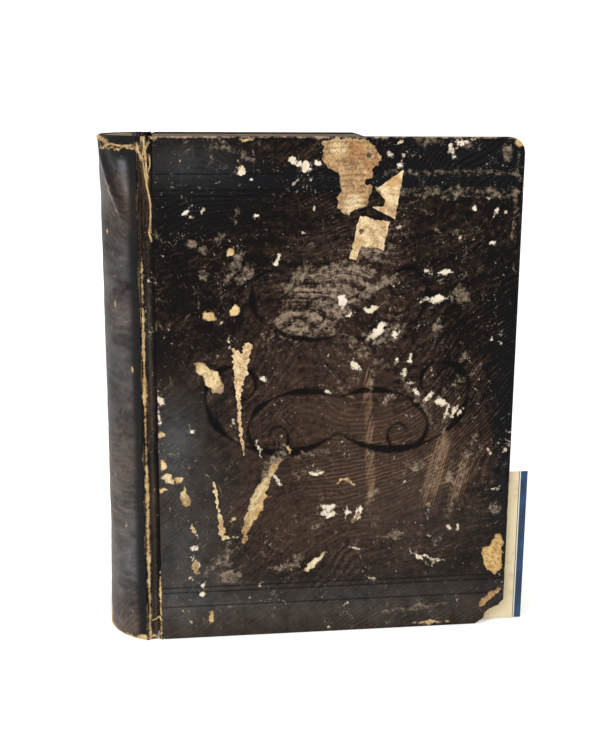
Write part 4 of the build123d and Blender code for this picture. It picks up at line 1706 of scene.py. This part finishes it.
        # Painted shade: where the torn head is lost, in the valley beside the crease, under the tear and on
        # the side towards the front joint.
        tear = places.height - self._torn(degrees)
        lost = ease(up, tear + 0.2, tear + 0.9) * ease(-degrees, 4, 8)
        beside = degrees - self._crease(up)
        fade = (1 - ease(drop, 26, 46)) * ease(drop, 4, 9)
        valley = np.exp(-(((beside + 7) / 4.5) ** 2)) * fade
        under = np.exp(-(((drop - 7.5) / 2.4) ** 2)) * ease(-degrees, 22, 34) * 0.75
        far = 0.92 * ease(-degrees, 52, 60)
        store(mesh, "stamp_and_shade", np.maximum.reduce([0.9 * lost, 0.85 * valley, under, far]))
        head = np.abs(tear - up) + 0.4 * ease(degrees, -10, 0)
        tail = up + 1.4 * value_noise(flat, 5, 31) - 1.0 - 1.3 * ease(-degrees, 42, 60)
        spike = np.abs(degrees + 10) * self.per_degree - 3.4 * (1 - up / 15)
        side = (self.half_angle - np.abs(degrees)) * self.per_degree + 0.8 * value_noise(flat, 8, 33) - 0.25
        store(mesh, "edge", np.clip(np.minimum.reduce([head - 0.35, tail, spike, side + 0.3]), -3, 4))
        chips = [np.hypot(flat[:, 0] + a, (flat[:, 1] - z) / 2) - r for a, z, r in self.chips]
        crown = np.abs(flat[:, 0] + 1.5) + 3 * ease(np.abs(up - 110), 40, 75) - 0.2
        chips.append(crown + 0.9 * value_noise(flat, 7, 34) + 0.3)
        store(mesh, "tan", np.clip(np.min(chips, axis=0), -3, 4))
        for name in ("pale", "dust"):
            store(mesh, name, np.full(len(flat), UNMARKED))

    def _dust_and_sheen_coat(self, degrees: Array, up: Array, flat: Array) -> Array:
        """Share of the grey veil: painted highlight on the crease's crest, painted sheen beside it and on the
        bulge at the head, and a plain share of dust and painted sheen, thicker towards the tail and the
        crown.

        Args:
            degrees: Angles from the middle of the back.
            up: Heights above the tail.
            flat: The same places laid flat.

        Returns:
            The share at each place.
        """
        drop = places.height - up
        beside = degrees - self._crease(up)
        fade = 1 - ease(drop, 26, 46)
        # Painted highlight on the crest of the crease, painted sheen on its lee side and on the bulge.
        crest = 1.6 * np.exp(-(((beside - 1.0) / 1.6) ** 2)) * fade * ease(drop, 5, 12)
        lee_sheen = 0.75 * ease(beside, 1, 6) * fade
        middle = -50 - 0.4 * (drop - 11)
        swell = np.exp(-(((degrees - middle) / 5.5) ** 2)) * ease(drop, 9, 14) * (1 - ease(drop, 24, 34))
        # A plain share, partly dust and partly painted sheen, more towards the tail and the crown.
        plain = 0.2 + 0.3 * (1 - up / places.height) + 0.25 * value_noise(flat, 13, 35)
        plain = plain + 0.2 * value_noise(flat * (1, 3), 6, 36) + 0.2 * ease(degrees, -42, -6)
        plain = plain * ease(drop, 22, 60) * ease(-degrees, -70, -60)
        plain = plain * (1 - ease(-degrees, 50, 62))
        return np.clip(np.maximum.reduce([crest, lee_sheen, 0.95 * swell, plain]), 0, 1.6)


@dataclass
class Joint:
    """The leather strip of a joint, sunk between the shoulder and the cover and cracked at the front."""

    name: str
    side: int
    shoulder: float = -7.0
    cover_edge: float = 0.0
    drop: float = 0.3
    groove: float = 1.6
    ridge: float = 0.35
    long_crack: float = 50.0
    short_crack: float = 13.0
    overlap: float = 0.5
    crack: tuple[tuple[float, float], ...] = (
        (0, -1.4), (14, -1.2), (206, -1.9), (222, -2.2), (235, -4.0), (245, -5.0), (254, -4.4),
    )

    def build(self, leather: Material) -> Object:
        """Make the strip between the book and its cover.

        Args:
            leather: The finish.

        Returns:
            The strip as one object.
        """
        along = np.linspace(self.shoulder - self.overlap, self.cover_edge + self.overlap, 25)
        up = np.linspace(0, places.height, 330)
        grid_u, grid_v = np.meshgrid(along, up, indexing="ij")
        depth = self._depth(grid_u, grid_v)
        outer = places.on_cover(self.side, grid_u, grid_v, depth)
        inner = places.on_cover(self.side, grid_u, grid_v, depth + places.leather)
        made = sheet(self.name, outer, inner, self._kept(along, up) if self.side > 0 else None)
        self._store_wear(made.data)
        dress(made, leather)
        self.bend(made)
        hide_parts("front_joint_leather" if self.side > 0 else "rear_joint_leather")
        return made

    def bend(self, made: Object) -> None:
        """Bake a piece's place into its mesh; the joint's ends are found but not used.

        Args:
            made: The piece.
        """
        ends = ((self.shoulder, 0.0, 0.0), (self.cover_edge, 0.0, 0.0))
        start, end = (tuple(places.on_cover(self.side, *np.array(spot)) * MM) for spot in ends)
        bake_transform(made)

    def _depth(self, along: Array, up: Array) -> Array:
        """Depth of the groove, with fine parallel ridges along it.

        Args:
            along: Distances from the cover's spine-side edge.
            up: Heights above the tail.

        Returns:
            The depth at each place below the cover's face, in millimetres.
        """
        share = (along - self.shoulder) / (self.cover_edge - self.shoulder)
        hollow = np.sin(math.pi * np.clip(share, 0, 1)) ** 0.7
        flat = np.stack([along.ravel() * 3, up.ravel()], axis=1)
        rough = (0.1 * value_noise(flat, 5, 51) + 0.06 * value_noise(flat, 1.8, 52)).reshape(along.shape)
        lines = 0.07 * np.sin(along * 6.2 + 0.8 * rough) * hollow
        crest = self.ridge * np.exp(-((share - 0.13) / 0.09) ** 2)
        return self.drop + self.groove * hollow - crest + (rough + lines) * np.clip(hollow, 0.2, 1)

    def _split(self, up: Array) -> Array:
        """Where the crack runs at each height.

        Args:
            up: Heights above the tail.

        Returns:
            Its distance from the cover's spine-side edge at each.
        """
        line = np.stack([up, np.zeros(len(up))], axis=1)
        heights, turns = zip(*self.crack)
        middle = np.interp(up, heights, turns)
        return middle + 0.3 * value_noise(line, 5, 53)

    def _kept(self, along: Array, up: Array) -> Array:
        """Cells of the strip that are left beside the crack.

        Args:
            along: The grid's distances from the cover's spine-side edge.
            up: Its heights above the tail.

        Returns:
            Whether each cell of the grid is there.
        """
        middle_u = (along[1:] + along[:-1]) / 2
        middle_v = (up[1:] + up[:-1]) / 2
        from_head = places.height - middle_v
        gape = np.where(from_head < self.long_crack, 0.8 * (1 - from_head / self.long_crack) ** 0.5, 0)
        tail_gape = 0.4 * (1 - middle_v / self.short_crack) ** 0.5 + 0.15
        gape = np.where(middle_v < self.short_crack, tail_gape, gape)
        centre = self._split(middle_v)
        return np.abs(middle_u[:, None] - centre[None]) >= gape[None]

    def _store_wear(self, mesh: Mesh) -> None:
        """Store the strip's wear, a pale ridge by the shoulder and tan sides to the crack, and painted shade
        in its groove.

        Args:
            mesh: The strip's mesh.
        """
        points = points_of(mesh)
        along, up = points[:, 0] - places.edge_x, points[:, 2]
        flat = np.stack([along * 2.5, up], axis=1)
        count = len(points)
        line = np.stack([up, np.zeros(count)], axis=1)
        gaps = 0.6 * value_noise(line, 13, 61) + 0.4 * value_noise(line, 4, 62)
        ridge = np.abs(along - self.shoulder - 1.2) - 0.5 - 0.55 * gaps
        if self.side > 0:
            from_head = places.height - up
            ridge = ridge + 1.4 * ease(-from_head, -self.long_crack - 12, -self.long_crack + 4)
            crack = np.abs(along - self._split(up) - 0.8) - 0.2 - 0.4 * value_noise(line, 3, 65)
            crack = np.where((from_head < self.long_crack) | (up < self.short_crack), crack, 3)
            rim = np.abs(along - self.cover_edge + 0.2) - 0.22 - 0.3 * value_noise(line, 9, 63)
            rim = rim + ease(up, 34, 44)
            ridge = np.minimum.reduce([ridge, crack, rim])
        else:
            ridge = ridge + 0.5
        store(mesh, "tan", np.clip(ridge, -3, 4))
        for name in ("edge", "pale", "dust"):
            store(mesh, name, np.full(count, UNMARKED))
        store(mesh, "ripple", along * 1.6)
        store(mesh, "watering", np.full(count, 0.8))
        store(mesh, "rub", np.clip(0.55 + 0.4 * value_noise(flat, 20, 64), 0, 1))
        for name in ("haze_and_highlight", "scrape"):
            store(mesh, name, np.zeros(count))
        dust_and_sheen = 0.55 * np.exp(-(((along + 2.9) / 1.3) ** 2)) * (0.7 + 0.5 * value_noise(flat, 16, 66))
        store(mesh, "dust_and_sheen", np.clip(dust_and_sheen * (1 - ease(up, 180, 215)), 0, 1))
        # Painted shade in the groove, dark but for a lit strip beside the shoulder.
        lit = ease(along - self.shoulder, 0.1, 0.7) * (1 - 0.9 * ease(along, -2.0, -0.9))
        store(mesh, "stamp_and_shade", 0.9 * (1 - lit))
        store(mesh, "cool", np.full(count, 0.3))

    def spots(self, *spots: tuple[float, float]) -> Array:
        """Points of the frame that lie on the strip, for distances from the cover and heights."""
        along, up = np.array(spots, float).T
        return places.on_cover(self.side, along, up, np.maximum(self._depth(along, up) - 0.25, 0.1))


@dataclass
class TextBlock:
    """The leaves as thin bundles between a rounded back with shoulders and a hollow fore edge."""

    bundles: int = 150
    gatherings: int = 18
    back_radius: float = 28.95
    valley: float = 0.4
    half: float = 24.8
    hollow: float = 7.0
    flare: float = 1.8
    flare_run: float = 5.0
    unevenness: float = 0.55

    def build(self, paper: Material) -> Object:
        """Make the leaves and let them ride on the book.

        Args:
            paper: The finish.

        Returns:
            The leaves as one object.
        """
        low, high = (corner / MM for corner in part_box("text_block"))
        centre_x = places.back_x + Back.radius
        draw = np.random.default_rng(5)
        edges = np.linspace(-self.half, self.half, self.bundles + 1)
        shares = np.array((0.0, 0.006, 0.012, 0.02, 0.03, 0.06, 0.2, 0.5, 0.8, 1.0))
        gather_low, gather_high, gather_fore = draw.uniform(0, 0.45, (3, self.gatherings))
        points, faces = [], []
        for number, (start, end) in enumerate(zip(edges[:-1], edges[1:])):
            middle = (start + end) / 2
            gathering = (middle + self.half) / (2 * self.half) * self.gatherings
            inner = min(int(gathering), self.gatherings - 1)
            rounding = self.valley * (2 * (gathering - inner) - 1) ** 2
            radius = self.back_radius - rounding
            back = centre_x - math.sqrt(radius**2 - middle**2)
            fore = high.x - self.hollow * (1 - (middle / self.half) ** 2)
            stray = draw.uniform(0, self.unevenness, 3)
            fore -= stray[0] + gather_fore[inner]
            bottom, top = low.z + stray[1] + gather_low[inner], high.z - stray[2] - gather_high[inner]
            run = back + (fore - back) * shares
            spread = 1 + self.flare / self.half * (1 - ease(run - back, 0, self.flare_run))
            ring = np.array([(start, bottom), (end, bottom), (end, top), (start, top)])
            first = len(points) * len(shares) * 4
            corners = [[(x, places.middle_y + y * wide, z) for y, z in ring] for x, wide in zip(run, spread)]
            points.append(np.array(corners).reshape(-1, 3))
            for row in range(len(shares) - 1):
                at = first + 4 * row
                faces += [[at + i, at + (i + 1) % 4, at + 4 + (i + 1) % 4, at + 4 + i] for i in range(4)]
            last = first + 4 * (len(shares) - 1)
            faces += [[first + 3, first + 2, first + 1, first], [last, last + 1, last + 2, last + 3]]
        stacked = np.vstack(points)
        made = make_object("page_leaves", stacked, faces)
        store(made.data, "rest", stacked)
        dress(made, paper)
        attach(made, BOOK)
        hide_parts("text_block")
        return made


@dataclass
class StuckPaper:
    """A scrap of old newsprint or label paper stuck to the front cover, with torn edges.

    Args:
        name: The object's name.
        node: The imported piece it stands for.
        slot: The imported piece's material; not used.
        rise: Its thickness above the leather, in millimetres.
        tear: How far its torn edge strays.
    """

    name: str
    node: str
    slot: str
    rise: float
    tear: float = 0.75

    def build(self, paper: Material) -> Object:
        """Make the scrap and let it ride on the front cover.

        Args:
            paper: The finish.

        Returns:
            The scrap as one object.
        """
        outline = ragged(face_loops(self.node, -self.rise)[0], 0.45, self.tear, 70)
        made = make_object(self.name, *prism(outline, -self.rise, 0.04))
        face_out(made, split=True)
        store(made.data, "rest", points_of(made.data))
        dress(made, paper)
        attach(made, FRONT)
        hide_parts(self.node)
        return made


@dataclass
class Leaflet:
    """A printed card tucked in behind the front cover, standing out at the fore edge."""

    thickness: float = 0.22

    def build(self, card: Material) -> Object:
        """Make the card and let it ride on the book.

        Args:
            card: The finish.

        Returns:
            The card as one object.
        """
        low, high = (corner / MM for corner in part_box("tucked_leaflet"))
        along, up = np.linspace(low.x, high.x, 70), np.linspace(low.z, high.z, 60)
        grid_x, grid_z = np.meshgrid(along, up, indexing="ij")
        flat = np.stack([grid_x.ravel(), grid_z.ravel()], axis=1)
        spare = high.y - low.y - self.thickness
        wave = (spare * (0.5 + 0.45 * value_noise(flat, 34, 81))).reshape(grid_x.shape)
        outer = np.stack([grid_x, low.y + wave, grid_z], axis=-1)
        inner = outer + (0, self.thickness, 0)
        made = sheet("leaflet_card", outer, inner)
        points = points_of(made.data)
        store(made.data, "border", high.x - points[:, 0])
        dress(made, card)
        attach(made, BOOK)
        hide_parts("tucked_leaflet")
        return made


@dataclass
class Fray:
    """Torn leather fibres and sewing thread that lie twisted along a line and stray at their ends.

    Args:
        name: The object's name.
        path: Points of the line, in millimetres.
        spread: How far the fibres lie from the line.
        count: How many fibres it has.
        stray: How far their ends stand off.
        share: Least share of the line that a fibre follows.
        seed: Picks one of many such tangles.
        thick: Radius of the thickest fibre.
    """

    name: str
    path: Array
    spread: float
    count: int
    stray: float
    share: float = 0.3
    seed: int = 1
    thick: float = 0.17
    twist: float = 1.3
    sides: int = 4
    steps: int = 9

    def build(self, fibre: Material) -> Object:
        """Make the fibres as one object.

        Args:
            fibre: The finish.

        Returns:
            The fibres.
        """
        draw = np.random.default_rng(self.seed)
        low, high = (np.array(corner) / MM for corner in cad_bounds)
        reach = np.concatenate([[0], np.cumsum(np.linalg.norm(np.diff(self.path, axis=0), axis=1))])
        points: list[Array] = []
        faces: list[list[int]] = []
        turns = np.arange(self.sides) * math.tau / self.sides
        for number in range(self.count):
            length = draw.uniform(self.share, 1.0)
            start = draw.uniform(0, 1 - length)
            shares = np.linspace(start, start + length, self.steps)
            line = np.stack([np.interp(shares * reach[-1], reach, axis) for axis in self.path.T], axis=1)
            phase = draw.uniform(0, math.tau) + shares * reach[-1] * self.twist * draw.uniform(0.4, 1.2)
            away = self.spread * draw.uniform(0.2, 1.0) * (1 + draw.normal(0, 0.35, self.steps))
            local = np.linspace(-1, 1, self.steps)
            ends = np.abs(local) ** 3
            line[:, 0] += away * np.cos(phase) + self.stray * draw.normal(0, 0.5) * ends
            line[:, 1] += 0.5 * away * np.sin(phase) - abs(self.stray * draw.normal(0, 0.3)) * ends
            line[:, 2] += 0.4 * away * np.sin(1.7 * phase) + self.stray * draw.normal(0, 0.5) * ends
            ahead = np.gradient(line, axis=0)
            ahead /= np.maximum(np.linalg.norm(ahead, axis=1), 1e-6)[:, None]
            side = np.cross(ahead, (0.31, 0.52, 0.79))
            side /= np.linalg.norm(side, axis=1)[:, None]
            other = np.cross(ahead, side)
            wide = self.thick * draw.uniform(0.45, 1.0) * (1 - 0.75 * np.abs(local) ** 2)
            cosines, sines = np.cos(turns)[None, :, None], np.sin(turns)[None, :, None]
            ring = side[:, None] * cosines + other[:, None] * sines
            points.append((line[:, None] + wide[:, None, None] * ring).reshape(-1, 3))
            first = number * self.steps * self.sides
            for at in range(first, first + (self.steps - 1) * self.sides, self.sides):
                faces += [[at + i, at + (i + 1) % self.sides, at + self.sides + (i + 1) % self.sides,
                           at + self.sides + i] for i in range(self.sides)]
            last = first + (self.steps - 1) * self.sides
            caps = (range(first + self.sides - 1, first - 1, -1), range(last, last + self.sides))
            faces += [list(cap) for cap in caps]
        stacked = np.clip(np.vstack(points), low + 0.01, high - 0.01)
        made = make_object(self.name, stacked, faces, 80)
        store(made.data, "rest", stacked)
        dress(made, fibre)
        return made


def fray_edges(joint: Joint, fibre: Material) -> None:
    """Fray the torn head of the back, the crack in the front joint, and both ends of the joint.

    Args:
        joint: The front joint.
        fibre: The finish of the fibres.
    """
    knot = Back.spots((-2, 252.8, 0.3), (-18, 252.4, 0.3), (-34, 250.4, 0.4))
    tear = Back.spots((-24, 248.6, 0.7), (-38, 250.0, 0.6), (-50, 249.0, 0.6), (-64, 249.6, 0.5))
    rim = Back.spots((-24, 1.2, 0.2), (-44, 1.0, 0.2), (-64, 1.6, 0.3))
    on_back = (
        Fray("head_knot_fibres", knot, 0.8, 110, 1.6, 0.15, 1),
        Fray("head_tear_fibres", tear, 0.45, 80, 1.0, 0.15, 2),
        Fray("tail_rim_fibres", rim, 0.5, 50, 0.7, 0.12, 3),
    )
    for fray in on_back:
        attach(fray.build(fibre), BOOK)
    shoulder = joint.spots((-6.9, 250.5), (-6.6, 247.5), (-5.2, 244.6), (-4.0, 242.9))
    strand = joint.spots((-4.4, 244), (-3.1, 234.6), (-2.0, 228.1), (-1.0, 222.0), (-1.2, 214.0), (-1.7, 210))
    loop = joint.spots((-1.0, 252.5), (-3.2, 247.5), (-2.7, 240.6), (-2.1, 232))
    branch = joint.spots((-1.2, 246), (-0.9, 240.6), (-1.9, 236.8))
    end = joint.spots((-1.6, 212), (-2.0, 209.3), (-0.9, 205))
    peak = joint.spots((-5.0, 10.6), (-3.2, 10.9), (-1.1, 12.9), (0.4, 10.4))
    foot = joint.spots((-6.4, 1.2), (-4.0, 2.4), (-2.0, 1.0))
    on_joint = (
        Fray("shoulder_fibres", shoulder, 0.55, 60, 1.1, 0.3, 4),
        Fray("crack_strand_fibres", strand, 0.32, 44, 0.4, 0.45, 5),
        Fray("crack_loop_fibres", loop, 0.4, 44, 0.8, 0.3, 6),
        Fray("crack_branch_fibres", branch, 0.25, 18, 0.4, 0.4, 7),
        Fray("crack_end_fibres", end, 0.35, 26, 0.5, 0.3, 8),
        Fray("tail_peak_fibres", peak, 0.3, 36, 0.6, 0.3, 9),
        Fray("tail_foot_fibres", foot, 0.7, 50, 0.9, 0.25, 10),
    )
    for fray in on_joint:
        joint.bend(fray.build(fibre))
    corner = places.on_cover(1, *np.array(((-0.2, 1.6), (253.4, 252.6), (0.2, 0.1))))
    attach(Fray("cover_head_fibres", corner, 0.6, 44, 1.1, 0.4, 11).build(fibre), FRONT)


@dataclass(frozen=True)
class Lamp:
    """A soft box lamp of the studio, in metres and watts."""

    name: str
    place: tuple[float, float, float]
    aim: tuple[float, float, float]
    size: float
    watts: float
    colour: str = "#ffffff"

    def build(self) -> Object:
        """Hang the lamp."""
        lamp = bpy.data.lights.new(self.name, "AREA")
        lamp.shape, lamp.size, lamp.energy = "SQUARE", self.size, self.watts
        lamp.color = linear(self.colour)[:3]
        made = bpy.data.objects.new(self.name, lamp)
        made.location = self.place
        made.rotation_euler = (Vector(self.aim) - Vector(self.place)).to_track_quat("-Z", "Y").to_euler()
        bpy.context.scene.collection.objects.link(made)
        return made


@dataclass
class Studio:
    """White floor and backdrop in one sweep, soft lamps and the camera."""

    half_width: float = 2.5
    near: float = -2.0
    far: float = 0.9
    rise: float = 2.2
    bend: float = 0.4
    ambient: float = 0.55
    yaw: float = -7.57
    pitch: float = 13.41
    roll: float = 0.42
    lens: float = 57.32
    before: float = 574.6
    beside: float = -4.6
    above: float = 274.8
    sensor: float = 36.0

    def build(self) -> None:
        """Build the studio round the book."""
        self._sweep()
        self._air()
        lamps = (
            Lamp("lamp_front_left", (-0.85, -0.95, 1.05), (0.0, 0.0, 0.12), 0.7, 15.0),
            Lamp("lamp_front_right", (1.1, -0.9, 0.8), (0.0, 0.0, 0.12), 0.9, 6.0),
            Lamp("lamp_overhead", (0.05, 0.1, 1.5), (0.0, 0.0, 0.1), 1.0, 8.0),
        )
        for lamp in lamps:
            lamp.build()
        self._camera()
        log.info("studio: %d lamps", len(lamps))

    def _sweep(self) -> None:
        """Floor that bends up into the backdrop."""
        turns = np.linspace(0, math.pi / 2, 13)
        floor = [(self.near, 0.0)]
        floor += [(self.far + self.bend * math.sin(t), self.bend * (1 - math.cos(t))) for t in turns]
        floor += [(self.far + self.bend, self.rise)]
        points = np.array([(x, y, z) for y, z in floor for x in (-self.half_width, self.half_width)]) / MM
        faces = [[2 * i, 2 * i + 1, 2 * i + 3, 2 * i + 2] for i in range(len(floor) - 1)]
        made = make_object("studio_sweep", points, faces, 60)
        made.data.materials.append(StudioWhite().build())

    def _air(self) -> None:
        """Even grey-white light from all round, white where the camera sees it."""
        graph = Graph(bpy.data.worlds.new("studio_air"))
        strength = graph.add("MapRange", {0: graph.seen_directly(), 3: self.ambient, 4: 1.0})
        light = graph.add("Background", {"Color": linear("#ffffff"), "Strength": strength})
        graph.add("OutputWorld", {"Surface": light})
        bpy.context.scene.world = graph.holder

    def _camera(self) -> None:
        """Camera at the height, distance and angle of the photographer's."""
        yaw, pitch, roll = (math.radians(angle) for angle in (self.yaw, self.pitch, self.roll))
        right = Vector((math.cos(yaw), math.sin(yaw), 0))
        ahead = Vector((-math.sin(yaw) * math.cos(pitch), math.cos(yaw) * math.cos(pitch), -math.sin(pitch)))
        up = right.cross(ahead)
        turned = math.cos(roll) * right + math.sin(roll) * up
        upright = math.cos(roll) * up - math.sin(roll) * right
        spot = Vector((places.edge_x + self.beside, places.front_y - self.before, self.above)) * MM
        view = bpy.data.cameras.new("photographer")
        view.lens, view.sensor_width, view.sensor_fit = self.lens, self.sensor, "AUTO"
        view.clip_start, view.clip_end = 0.01, 30.0
        made = bpy.data.objects.new("photographer", view)
        made.matrix_world = Matrix(
            ((turned.x, upright.x, -ahead.x, spot.x), (turned.y, upright.y, -ahead.y, spot.y),
             (turned.z, upright.z, -ahead.z, spot.z), (0, 0, 0, 1))
        )
        bpy.context.scene.collection.objects.link(made)
        bpy.context.scene.camera = made


BOARD_SPOTS = (
    (41, 146, 10, "#efe5cd"),
    (41, 124, 12, "#efe6d2"),
    (41, 110, 7, "#efe6d2"),
    (29, 69, 14, "#efe8da"),
    (25, 138, 9, "#dcc490"),
    (51, 76, 18, "#cdb788"),
    (79, 38, 9, "#e8d8b0"),
    (8, 85, 12, "#e4cf9e"),
    (17, 52, 14, "#dcc592"),
    (173, 38, 14, "#cda968"),
    (172, 15, 8, "#b48d5e"),
)
PATCH_SPOTS = (
    (103, 245, 1.6, "#2a1c12"),
    (96, 222, 6, "#ddc79a"),
    (88, 249, 5, "#d7bd8c"),
    (104, 240, 4, "#a97b4a"),
    (97, 247, 5, "#a87b4b"),
)
SCRAP_SPOTS = (
    (115, 233, 4, "#c39b64"),
    (107, 227, 3, "#7a5c3e"),
    (108, 223, 2, "#2c2019"),
    (100, 209, 1.8, "#50361f"),
    (97, 203, 4, "#c9aa7b"),
)
KEPT = {
    FibreStuff("pasteboard_rolled", "#c2a06f", "#7d5a35", stain_pitch=2.6, fibre_pitch=1.1, packed=True,
               relief=0.12, spots=BOARD_SPOTS):
        ("front_board", "rear_board"),
    FibreStuff("pastedown_paper_laid", "#a3927a", "#75624b", stain_pitch=30, packed=True):
        ("front_pastedown", "rear_pastedown"),
    FibreStuff("flyleaf_paper_browned", "#7d6f5e", "#544738", stain_pitch=34, packed=True):
        ("front_flyleaf", "rear_flyleaf"),
    FibreStuff("cotton_tape_woven", "#c9bb98", "#9c8862", Fibre.WOVEN, fibre_pitch=0.5, packed=True):
        ("sewing_tape_head", "sewing_tape_middle", "sewing_tape_tail"),
    # Mull darkened to stand for the deep shade inside the cracked joint: painted shade.
    FibreStuff("mull_cloth_painted_shade", "#54432f", "#382b1e", Fibre.WOVEN, fibre_pitch=0.7, packed=True):
        ("mull_lining",),
    FibreStuff("lining_paper_brown", "#6f5a3e", "#4d3c28", stain_pitch=10, packed=True):
        ("spine_lining",),
    FibreStuff("cotton_band_wound", "#8f7c5c", "#5f4f36", Fibre.WOVEN, fibre_pitch=0.55, packed=True):
        ("head_band", "tail_band"),
}


def dress_kept_nodes() -> None:
    """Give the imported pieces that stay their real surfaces."""
    for stuff, nodes in KEPT.items():
        material = stuff.build()
        for node in nodes:
            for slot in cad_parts[node].material_slots:
                slot.material = material
            log.info("%s: %s", node, stuff.name)


def main() -> None:
    """Build the book's pieces in order, then the studio."""
    logging.basicConfig(level=logging.INFO, format="%(name)s: %(message)s")
    bpy.context.scene.view_settings.view_transform = "Standard"
    leather = MoireLeather().build()
    newsprint = FibreStuff("newsprint_browned", "#c3a070", "#8d6a42", Fibre.PRINTED, 5.0, relief=0.1,
                           print_from=213.0, spots=PATCH_SPOTS).build()
    bleached = FibreStuff("newsprint_bleached", "#e2cda2", "#b08c5e", stain_pitch=4.0, relief=0.1,
                          spots=SCRAP_SPOTS).build()
    fibre = FibreStuff("leather_fibre_frayed", "#e2c78f", "#8c6335", stain_pitch=1.6, fibre_pitch=0.5).build()
    dress_kept_nodes()
    Cover("front_cover_skin", 1, 0.8).build(FRONT, leather)
    Cover("rear_cover_skin", -1, 1.5, head_wear=2.0).build(REAR, leather)
    polished = MoireLeather("moire_leather_polished", "#0f0b09", "#131214", "#54453a", 0.14, 0.6, 0.04,
                            dust_and_sheen="#70665c", cool_dust_and_sheen="#6b6a6f", ripple_height=0.12).build()
    Back().build(polished, FibreStuff("inlay_card_brown", "#4f3b28", "#35271b").build())
    front_joint = Joint("front_joint_skin", 1)
    front_joint.build(leather)
    Joint("rear_joint_skin", -1).build(leather)
    fray_edges(front_joint, fibre)
    TextBlock().build(FibreStuff("page_paper_browned", "#cbb88f", "#9f8657", Fibre.LEAVES, 20.0).build())
    Leaflet().build(LeafletCard().build())
    papers = (
        (StuckPaper("newsprint_patch_scrap", "newsprint_patch", "newsprint", 0.15), newsprint),
        (StuckPaper("newsprint_kite_scrap", "newsprint_kite", "newsprint", 0.15, 0.2), bleached),
        (StuckPaper("newsprint_strip_scrap", "newsprint_strip", "newsprint", 0.15, 0.4), bleached),
        (StuckPaper("paper_sliver_upper_scrap", "paper_sliver_upper", "label_paper", 0.12), bleached),
        (StuckPaper("paper_sliver_lower_scrap", "paper_sliver_lower", "label_paper", 0.12), bleached),
    )
    for scrap, paper in papers:
        scrap.build(paper)
    Studio().build()


if __name__ == "__main__":
    main()
